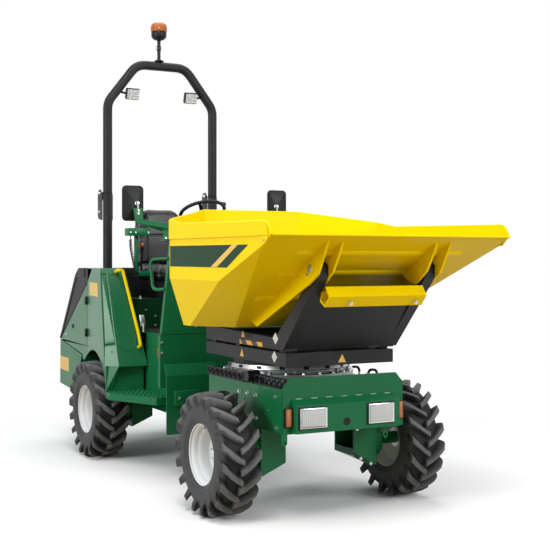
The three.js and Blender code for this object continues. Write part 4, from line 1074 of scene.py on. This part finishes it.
# %% Seat cushion and backrest
cushion = shaped_block(at(-2380, -216, 1308), at(-1944, 216, 1420), 0.030)
for vert in cushion.verts:
    back = (at(-2380, 0, 0).x - vert.co.x) / (at(-2380, 0, 0).x - at(-1944, 0, 0).x)
    side = abs(vert.co.y) / 0.216
    if vert.co.z > 1.36:
        vert.co.z += 0.010 * side ** 3 - 0.012 * math.sin(math.pi * min(1, back)) * (1 - side ** 2)
        vert.co.z -= 0.022 * max(0, back - 0.8) / 0.2
cushion_seams = [(lambda p: abs(p.y) - 0.145 if p.z > 1.36 else 9, 0.006, 0.010),
    (lambda p: p.x - at(-2050, 0, 0).x if p.z > 1.36 and abs(p.y) < 0.145 else 9, 0.005, 0.009),
    (lambda p: p.z - 1.352, 0.004, 0.008)]
padding("seat_pad", cushion, 0.010, cushion_seams, ["seat_cushion"])
rest = shaped_block(at(-2482, -206, 1408), at(-2402, 206, 1866), 0.032)
for vert in rest.verts:
    up = (vert.co.z - 1.408) / 0.458
    if up > 0.72:
        vert.co.y *= 1 - 0.42 * ((up - 0.72) / 0.28) ** 2
    vert.co.x -= 0.034 * max(0, up - 0.35) ** 1.5 - (0.012 if vert.co.x > at(-2440, 0, 0).x else 0) * \
        math.sin(math.pi * up) * (abs(vert.co.y) / 0.206) ** 2
rest_seams = [(lambda p: abs(p.y) - 0.120 if p.x > at(-2440, 0, 0).x and p.z < 1.80 else 9, 0.006, 0.010),
    (lambda p: p.z - 1.655 if p.x > at(-2440, 0, 0).x and abs(p.y) < 0.120 else 9, 0.005, 0.009)]
padding("seat_back_pad", rest, 0.008, rest_seams, ["seat_backrest"])

shell = [(-2476, -190, 1330), (-2476, 190, 1330), (-2486, 196, 1700), (-2498, 130, 1850),
    (-2498, -130, 1850), (-2486, -196, 1700)]
finished("seat_shell", [sheet(shell, (-0.010, 0, 0), 0.003), block((-2478, -120, 1300), (-2372, 120, 1420),
    0.010, 2)], grip_plastic, "rear_unit")

# %% [markdown]
# The belt's buckle stands beside the cushion on a stalk, with an orange release button. The belt's
# reel sits on the far side. The console beside the seat carries the joystick, and the pedal stands
# on the floor in front of it.

# %% Buckle and reel
buckle = gather([block((-2166, -276, 1532), (-2138, -240, 1592), 0.006, 3),
    pipe([(-2290, -200, 1330), (-2230, -236, 1400), (-2158, -258, 1535)], 0.008, 8, 0.05)])
finished("belt_buckle", buckle, grip_plastic, "rear_unit")
button = block((-2140, -270, 1566), (-2134, -246, 1590), 0.002)
finished("belt_button", button, orange_plastic, "rear_unit")
reel = gather([block((-2420, 222, 1310), (-2330, 262, 1400), 0.012, 3),
    block((-2385, 205, 1290), (-2345, 232, 1330), 0.004, 2)])
finished("belt_reel", reel, grip_plastic, "rear_unit")
knob = gather([lathe([(0, 52), (14, 50), (23, 42), (26, 30), (22, 16), (12, 8), (10, 0), (0, 0)], 24)])
finished("joystick_knob", put(knob, at(-2000, -297, 1772)), hose_rubber, "rear_unit")
boot = lathe([(0, 34), (11, 34), (14, 26), (20, 24), (22, 16), (29, 13), (31, 4), (36, 0), (0, 0)], 24)
finished("joystick_boot", put(boot, at(-2000, -297, 1698)), hose_rubber, "rear_unit")
arm = [
    block((-2040, -438, 1640.3), (-1950, -268, 1698), 0.004),
    block((-2026, -361, 1338), (-2020, -337, 1641), 0.0015),
    block((-2050, -361, 1338), (-2022, -356, 1641), 0.0015),
    block((-2028, -362, 1338), (-2020, -224, 1374), 0.0015),
    block((-2060, -362, 1337), (-2020, -224, 1343), 0.0015),
]
finished("console_box", arm, green_enamel, "rear_unit", ["console"])
stay = gather([block((-2034, -250, 1236), (-2027, -205, 1372), 0.0015),
    block((-2060, -214, 1236), (-2027, -184, 1244), 0.0015),
    pipe([(-2000, -297, 1697), (-2000, -297, 1775)], 0.008, 12)])
finished("console_stay", stay, grip_plastic, "rear_unit")
bolts("console_bolts", "rear_unit", [(-1950, -424, 1665), (-1950, -384, 1665), (-1950, -284, 1665)],
    (1, 0, 0), 6)
pedal = gather([moved(rounded_block((-0.004, -0.018, -0.044), (0.004, 0.018, 0.044), 0.003, 2),
    Matrix.Translation(at(-1702, -426, 1022)) @ Matrix.Rotation(math.radians(-24), 4, "Y")),
    pipe([(-1704, -426, 1015), (-1684, -426, 985), (-1680, -426, 941)], 0.006, 8, 0.02)])
finished("drive_pedal", pedal, turned_steel, "rear_unit")
print("seat fittings done")

# %% [markdown]
# ## Curly cable
# A coiled cable runs from the console to the seat box. Its route is the CAD tube's middle line. The
# wire winds round that line: at each small step along it, a point is set out at the coil's radius,
# turned a little further than the last. The ends leave straight, along the route.

# %% Wind the cable
route = [at(-1970, -417, 1639.4), at(-1970, -415, 1560), at(-1950, -400, 1440), at(-1950, -380, 1320),
    at(-1954, -346, 1232), at(-1975, -340, 1200), at(-1975, -340, 1170.3)]
dense = []
for i in range(len(route) - 1):
    before, start, end = route[max(i - 1, 0)], route[i], route[i + 1]
    after = route[min(i + 2, len(route) - 1)]
    for k in range(24):
        t = k / 24
        pull = (end - before) * t
        bend = (2 * before - 5 * start + 4 * end - after) * t ** 2
        dense.append(0.5 * ((2 * start) + pull + bend + (3 * start - before - 3 * end + after) * t ** 3))
dense.append(route[-1])
spans = [0.0]
for a, b in zip(dense, dense[1:]):
    spans.append(spans[-1] + (b - a).length)
whole = spans[-1]


def along(distance):
    """The point and direction on the route at a distance from its start."""
    i = max(1, next((k for k, s in enumerate(spans) if s >= distance), len(spans) - 1))
    t = (distance - spans[i - 1]) / max(1e-9, spans[i] - spans[i - 1])
    return dense[i - 1].lerp(dense[i], min(1, t)), (dense[i] - dense[i - 1]).normalized()


wire, pitch, coil_r, a_turn = 0.0070, 0.0130, 0.0095, 12
straight_in, straight_out = 0.020, 0.150
points = [along(0)[0]]
steps = int((whole - straight_in - straight_out) / pitch * a_turn)
for k in range(steps + 1):
    distance = straight_in + pitch * k / a_turn
    centre, ahead = along(distance)
    side = ahead.cross(Vector((1, 0, 0))).normalized()
    across = ahead.cross(side)
    grow = min(1, k / 10, (steps - k) / 10)
    turn = 2 * math.pi * k / a_turn
    points.append(centre + (side * math.cos(turn) + across * math.sin(turn)) * coil_r * grow)
for k in range(1, 13):
    points.append(along(whole - straight_out + straight_out * k / 12)[0])
lead = wire_curve("curly_lead", points, wire / 2, 1)
scene.collection.objects.link(lead)
lead.data.materials.append(hose_rubber)
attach(lead, "rear_unit")
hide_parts("curly_cable")
gland = gather([lathe([(0, 22), (6, 22), (8, 16), (11, 15), (12, 2), (15, 0), (0, 0)], 20)])
finished("cable_gland", put(gland, at(-1975, -340, 1170.3)), zinc_plate, "rear_unit")

# %% [markdown]
# ## Covers, labels, step and floor
# Small parts finish the rear: door hinges and a lock, plain gold labels, a bead pressed round the
# fender's face, a rubber floor mat and a pierced step. The step's holes have raised rims that grip
# a boot. Each is a ring of a few faces over a dark disc of painted shade in place of the open hole,
# since it repeats dozens of times.

# %% Doors, labels and fender beads
def fender(z, y):
    """A point on the fender's leaning face, in millimetres."""
    return -1690 - 215 * (z - 702) / 696, y, z


for hand, sign in hands:
    barrels = [put(lathe([(0, 29), (10.5, 29), (11.5, 26), (11.5, -26), (10.5, -29), (0, -29)], 20),
        at(-2312, sign * 649, z)) for z in (905, 1150)]
    near, far = sorted((sign * 640.5, sign * 648))
    leaves = [block((-2356, near, z - 32), (-2314, far, z + 32), 0.003) for z in (905, 1150)]
    finished(f"door_hinges_{hand}", barrels + leaves, grip_plastic, f"door_{hand}")
    lock = lathe([(0, 7), (10, 7), (12, 5), (18, 4), (19, 0), (0, 0)], 24)
    finished(f"door_lock_{hand}", put(lock, at(-2671, sign * 640, 936), (0, sign, 0)), hose_rubber,
        f"door_{hand}")
    bolts(f"door_bolt_{hand}", f"door_{hand}", [(-2845, sign * 640, 862)], (0, sign, 0), 8)
    spots = [(x, sign * (640.6 + (x + 2300) / 536 * 50), z) for x, z in ((-2235, 1195), (-2235, 1293),
        (-1975, 1291), (-1962, 1189))]
    plates = [sheet(spots, (0, sign * 0.0006, 0), 0),
        wall(sign * 640.4, ((-3008, 572), (-3006, 676), (-2780, 672), (-2780, 563)), sign * 0.0006, 0)]
    finished(f"gold_labels_{hand}", plates, gold_film, "rear_unit")
    outline = ((1352, 622), (1352, 545), (1300, 520), (905, 450), (832, 470), (800, 540), (840, 585),
        (1352, 622))
    bead = pipe([fender(z, sign * y) for z, y in outline], 0.0035, 8, 0.05)
    finished(f"fender_bead_{hand}", bead, green_enamel, "rear_unit")
print("labels are plain film")

# %% [markdown]
# ## Dash tower
# The tower is one folded sheet: a tapering front face with short flanges turned back down both
# sides, a shelf on top under the steering column, and a green loop handle on each side to hold when
# climbing in. Sheets are cut to outline and given their 6 mm thickness by pushing them back.

# %% Tower skin and loops
tower_outline = [(-498, 594), (498, 594), (498, 950), (488, 962), (417, 1599.5), (-417, 1599.5),
    (-488, 962), (-498, 950)]
sheets = [
    sheet([(-1180.3, y, z) for y, z in tower_outline], (-0.006, 0, 0), 0.0015),
    block((-1405, -410, 1593.5), (-1181, 410, 1599.5), 0.002),
    block((-1240, -60, 1560), (-1186, 60, 1594), 0.003),
]
for sign in (-1, 1):
    for (y0, z0), (y1, z1) in (((498, 594), (498, 950)), ((488, 962), (417, 1596))):
        corners = ((-1184, y0, z0), (-1184, y1, z1), (-1216, y1, z1), (-1216, y0, z0))
        flange = [(x, sign * y, z) for x, y, z in corners]
        sheets.append(sheet(flange, (0, -sign * 0.006, 0), 0.0015))
    sheets.append(pipe([(-1196, sign * 456, 1262), (-1300, sign * 502, 1256), (-1312, sign * 517, 1464),
        (-1196, sign * 432, 1472)], 0.011, 16, 0.04))
    sheets.append(block((-1400, sign * 300 - 20, 950), (-1186, sign * 300 + 20, 956), 0.002))
seam = block((-1179.9, -492, 953), (-1179, 492, 957), 0.0004, 1)
finished("tower_skin", sheets, green_enamel, "rear_unit", ["dash_tower"])
finished("tower_seam", seam, hose_rubber, "rear_unit")

# %% [markdown]
# ## Hood trim
# The hood is vacuum-formed plastic, so its edges carry a raised border that stiffens it, and the
# back has a row of louvres that let warm air out. Each louvre is a wedge drawn across the slope.

# %% Hood borders, louvres and latch
trim = []
for sign in (-1, 1):
    for band in (((-2600, 1348), (-2521, 1396), (-2372, 1395), (-2372, 1322), (-2580, 1322)),
            ((-2600, 1348), (-3018, 820), (-2945, 864), (-2578, 1322))):
        trim.append(wall(sign * 640.2, band, sign * 0.005, 0.002))


def hood_back(t, lift):
    """x and z at a share of the way down the hood's sloping back, lifted off it in millimetres."""
    return -2602 - 422 * t - 0.785 * lift, 1350 - 534 * t + 0.62 * lift


for k in range(7):
    wedge = [hood_back(0.30 + 0.07 * k, 0), hood_back(0.335 + 0.07 * k, 13), hood_back(0.345 + 0.07 * k, 0)]
    trim.append(wall(-420, wedge, 0.84, 0.0015))
for t in (0.08, 0.92):
    rib_outline = [hood_back(t + along, lift) for along, lift in ((-0.012, 0), (-0.006, 5), (0.006, 5),
        (0.012, 0))]
    trim.append(wall(-560, rib_outline, 1.12, 0.0015))
finished("hood_trim", trim, hood_plastic, "rear_unit")
x, z = hood_back(0.90, 0)
latch = gather([put(rounded_block((-0.034, -0.030, 0), (0.034, 0.030, 0.010), 0.003), at(x, sign * 330, z),
    (-0.785, 0, 0.62)) for sign in (-1, 1)])
finished("hood_latches", latch, zinc_plate, "rear_unit")
print("hood trimmed")

# %% Step and mat
for hand, sign in hands:
    rims, hole_shades = [], []
    for i in range(14):
        for j in range(8):
            x, y = -1718 + 36 * i, 412 + 36 * j + (18 if i % 2 else 0)
            edge_y = 674 if x < -1655 else 674 - (x + 1655) * 190 / 415
            if x > -1262 or y > edge_y - 6:
                continue
            ring = lathe([(9.5, 0), (8.5, 3), (6.2, 3), (6.2, 0.2)], 10)
            rims.append(put(ring, at(x, sign * y, 520)))
            # The dark disc paints the shade seen through the hole.
            hole_shade = bmesh.new()
            bmesh.ops.create_cone(hole_shade, cap_ends=True, segments=10, radius1=0.0063, radius2=0.0063,
                depth=0.0006, matrix=Matrix.Translation(at(x, sign * y, 520.4)))
            hole_shades.append(hole_shade)
    finished(f"step_rims_{hand}", rims, green_enamel, "rear_unit")
    finished(f"step_hole_shades_{hand}", hole_shades, hose_rubber, "rear_unit")
mat = block((-1942, -372, 940.3), (-1446, 372, 946), 0.002)
finished("floor_mat", mat, hose_rubber, "rear_unit")
treads = [block((-1925 + 40 * k, -360, 945), (-1905 + 40 * k, 360, 948.5), 0.0012, 1) for k in range(12)]
finished("floor_mat_bars", treads, hose_rubber, "rear_unit")

# %% [markdown]
# ## Cable track and pipes on the front frame
# A lattice of black links guides the cables beside the slewing ring, and short hoses run to silver
# fittings. The lattice is made of thin bars along two rails, and each hose is one bent tube.

# %% Lattice and hoses
bars_made = []
for start, count, sides in ((-572, 8, (-416,)), (38, 5, (-394, -360))):
    for y in sides:
        for z in (750, 796):
            bars_made.append(block((start - 4, y - 4, z - 4), (start + 62 * count + 4, y + 4, z + 4),
                0.001, 1))
        for k in range(count + 1):
            x = start + 62 * k
            bars_made.append(block((x - 4, y - 3, 752), (x + 4, y + 3, 796), 0.001, 1))
            if k < count:
                bars_made.append(pipe([(x, y, 753), (x + 60, y, 793)], 0.004, 6))
bars_made.append(block((-560, -412, 748), (-90, -409, 790), 0.001, 1))
finished("cable_lattice", bars_made, grip_plastic, "front_unit", ["cable_chain"])
collar = [lathe([(349, 0), (376, 0), (378, 3), (378, 20), (372, 24), (366, 48), (349, 50), (349, 0)], 72)]
dark = []
for k in range(16):
    turn = math.radians(22.5 * k)
    spot = Vector((0.3745 * math.cos(turn), 0.3745 * math.sin(turn), 0.012))
    ahead = (math.cos(turn), math.sin(turn), 0)
    collar.append(put(nut(0.010), spot * 1.008, ahead))
    # Dark blocks between the bolts paint the shade inside the collar's openings.
    window = rounded_block((-0.016, -0.009, -0.004), (0.016, 0.009, 0.004), 0.002, 1)
    turn += math.radians(11.25)
    spot = Vector((0.3685 * math.cos(turn), 0.3685 * math.sin(turn), 0.036))
    dark.append(put(window, spot, (math.cos(turn), math.sin(turn), 0.2)))
pedestal = Matrix.Translation(at(-290, 0, 787))
finished("ring_collar", moved(gather(collar), pedestal), turned_steel, "carriage")
finished("ring_opening_shade", moved(gather(dark), pedestal), hose_rubber, "carriage")
hoses = [pipe([(-560, y, 748), (-560, y + 6, 800), (-470, y + 40, 812), (-420, y + 60, 770)], 0.009, 12,
    0.05) for y in (-230, -190, 150, 190)]
hoses += [pipe([(x, 376, 748), (x + 10, 384, 790), (x + 90, 384, 796), (x + 120, 372, 748)], 0.008, 12,
    0.03) for x in (-160, 40)]
finished("front_hoses", hoses, hose_rubber, "front_unit")
fittings = []
for x, y in ((-420, -170), (-420, -130), (-160, 376), (-40, 372), (40, 376), (160, 372)):
    fittings.append(put(nut(0.013, 1.6), at(x, y, 746)))
for k in range(24):
    turn = math.radians(15 * k)
    spot = at(-290 + 395 * math.cos(turn), 395 * math.sin(turn), 785)
    fittings.append(put(nut(0.009), spot))
finished("ring_fittings", fittings, zinc_plate, "front_unit")
print("front frame dressed")

# %% [markdown]
# ## Studio
# A plain pale floor keeps a soft shadow under the wheels. Towards its edges the floor turns to
# plain white, so that it meets the white backdrop with no line. Large soft lamps stand in front,
# above and at the camera's side, and the far side stays readable through the pale surroundings.

# %% Floor, backdrop and lamps
def seen_directly(tree):
    """1 for rays from the camera, off glossy surfaces and through glass, and 0 for the rest."""
    path = add_node(tree, "LightPath")
    seen = path.outputs["Is Camera Ray"]
    for ray in ("Is Glossy Ray", "Is Transmission Ray"):
        seen = add_node(tree, "Math", {0: seen, 1: path.outputs[ray]}, operation="MAXIMUM").outputs["Value"]
    return seen


floor_mesh = bpy.data.meshes.new("floor")
made = bmesh.new()
bmesh.ops.create_grid(made, x_segments=2, y_segments=2, size=30)
made.to_mesh(floor_mesh)
made.free()
floor = bpy.data.objects.new("floor", floor_mesh)
scene.collection.objects.link(floor)
floor.location = (0, 0, -0.001)
floor_finish = bpy.data.materials.new("studio_floor")
floor_finish.use_nodes = True
tree = floor_finish.node_tree
tree.nodes.clear()
output = add_node(tree, "OutputMaterial")
where = add_node(tree, "TexCoord").outputs["Object"]
distance = add_node(tree, "VectorMath", {0: where}, operation="LENGTH")
fade = add_node(tree, "MapRange", {"Value": distance.outputs["Value"], "From Min": 1.6, "From Max": 3.6},
    interpolation_type="SMOOTHSTEP")
glow = add_node(tree, "Emission", {"Color": (1, 1, 1, 1), "Strength": 1.0})
seen = seen_directly(tree)
tone = add_node(tree, "Mix", {0: seen, 6: linear("#AD9C80"), 7: linear("#F6F6F6")}, data_type="RGBA")
painted = add_node(tree, "BsdfDiffuse", {"Color": tone.outputs[2]})
weight = add_node(tree, "Math", {0: seen, 1: fade.outputs["Result"]}, operation="MULTIPLY")
surface = add_node(tree, "MixShader", {0: weight.outputs["Value"], 1: painted.outputs["BSDF"],
    2: glow.outputs["Emission"]})
tree.links.new(surface.outputs["Shader"], output.inputs["Surface"])
floor_mesh.materials.append(floor_finish)

world = bpy.data.worlds.new("studio")
scene.world = world
world.use_nodes = True
tree = world.node_tree
tree.nodes.clear()
output = add_node(tree, "OutputWorld")
seen = seen_directly(tree)
dim = add_node(tree, "Background", {"Color": linear("#F2F5FA"), "Strength": 0.5})
bright = add_node(tree, "Background", {"Color": (1, 1, 1, 1), "Strength": 1.0})
both = add_node(tree, "MixShader", {0: seen, 1: dim.outputs["Background"], 2: bright.outputs["Background"]})
tree.links.new(both.outputs["Shader"], output.inputs["Surface"])


def soft_lamp(name, place, target, size, power):
    data = bpy.data.lights.new(name, "AREA")
    data.shape = "SQUARE"
    data.size = size
    data.energy = power
    lamp = bpy.data.objects.new(name, data)
    lamp.location = place
    lamp.rotation_euler = (Vector(target) - Vector(place)).to_track_quat("-Z", "Y").to_euler()
    scene.collection.objects.link(lamp)
    return lamp


soft_lamp("key", (4.0, -2.5, 8.0), (0, 0, 0.8), 3.5, 360)
soft_lamp("front_box", (7.5, 3.5, 4.0), (0.5, 0, 0.8), 4.0, 330)
soft_lamp("side_box", (1.5, -8.5, 3.6), (0.2, 0, 1.0), 3.5, 420)
soft_lamp("top_box", (-2.0, 1.0, 7.5), (0, 0, 1.0), 4.5, 170)
scene.view_settings.view_transform = "Standard"
print("studio: one floor, one backdrop and four lamps")

# %% Update the view layer
bpy.context.view_layer.update()
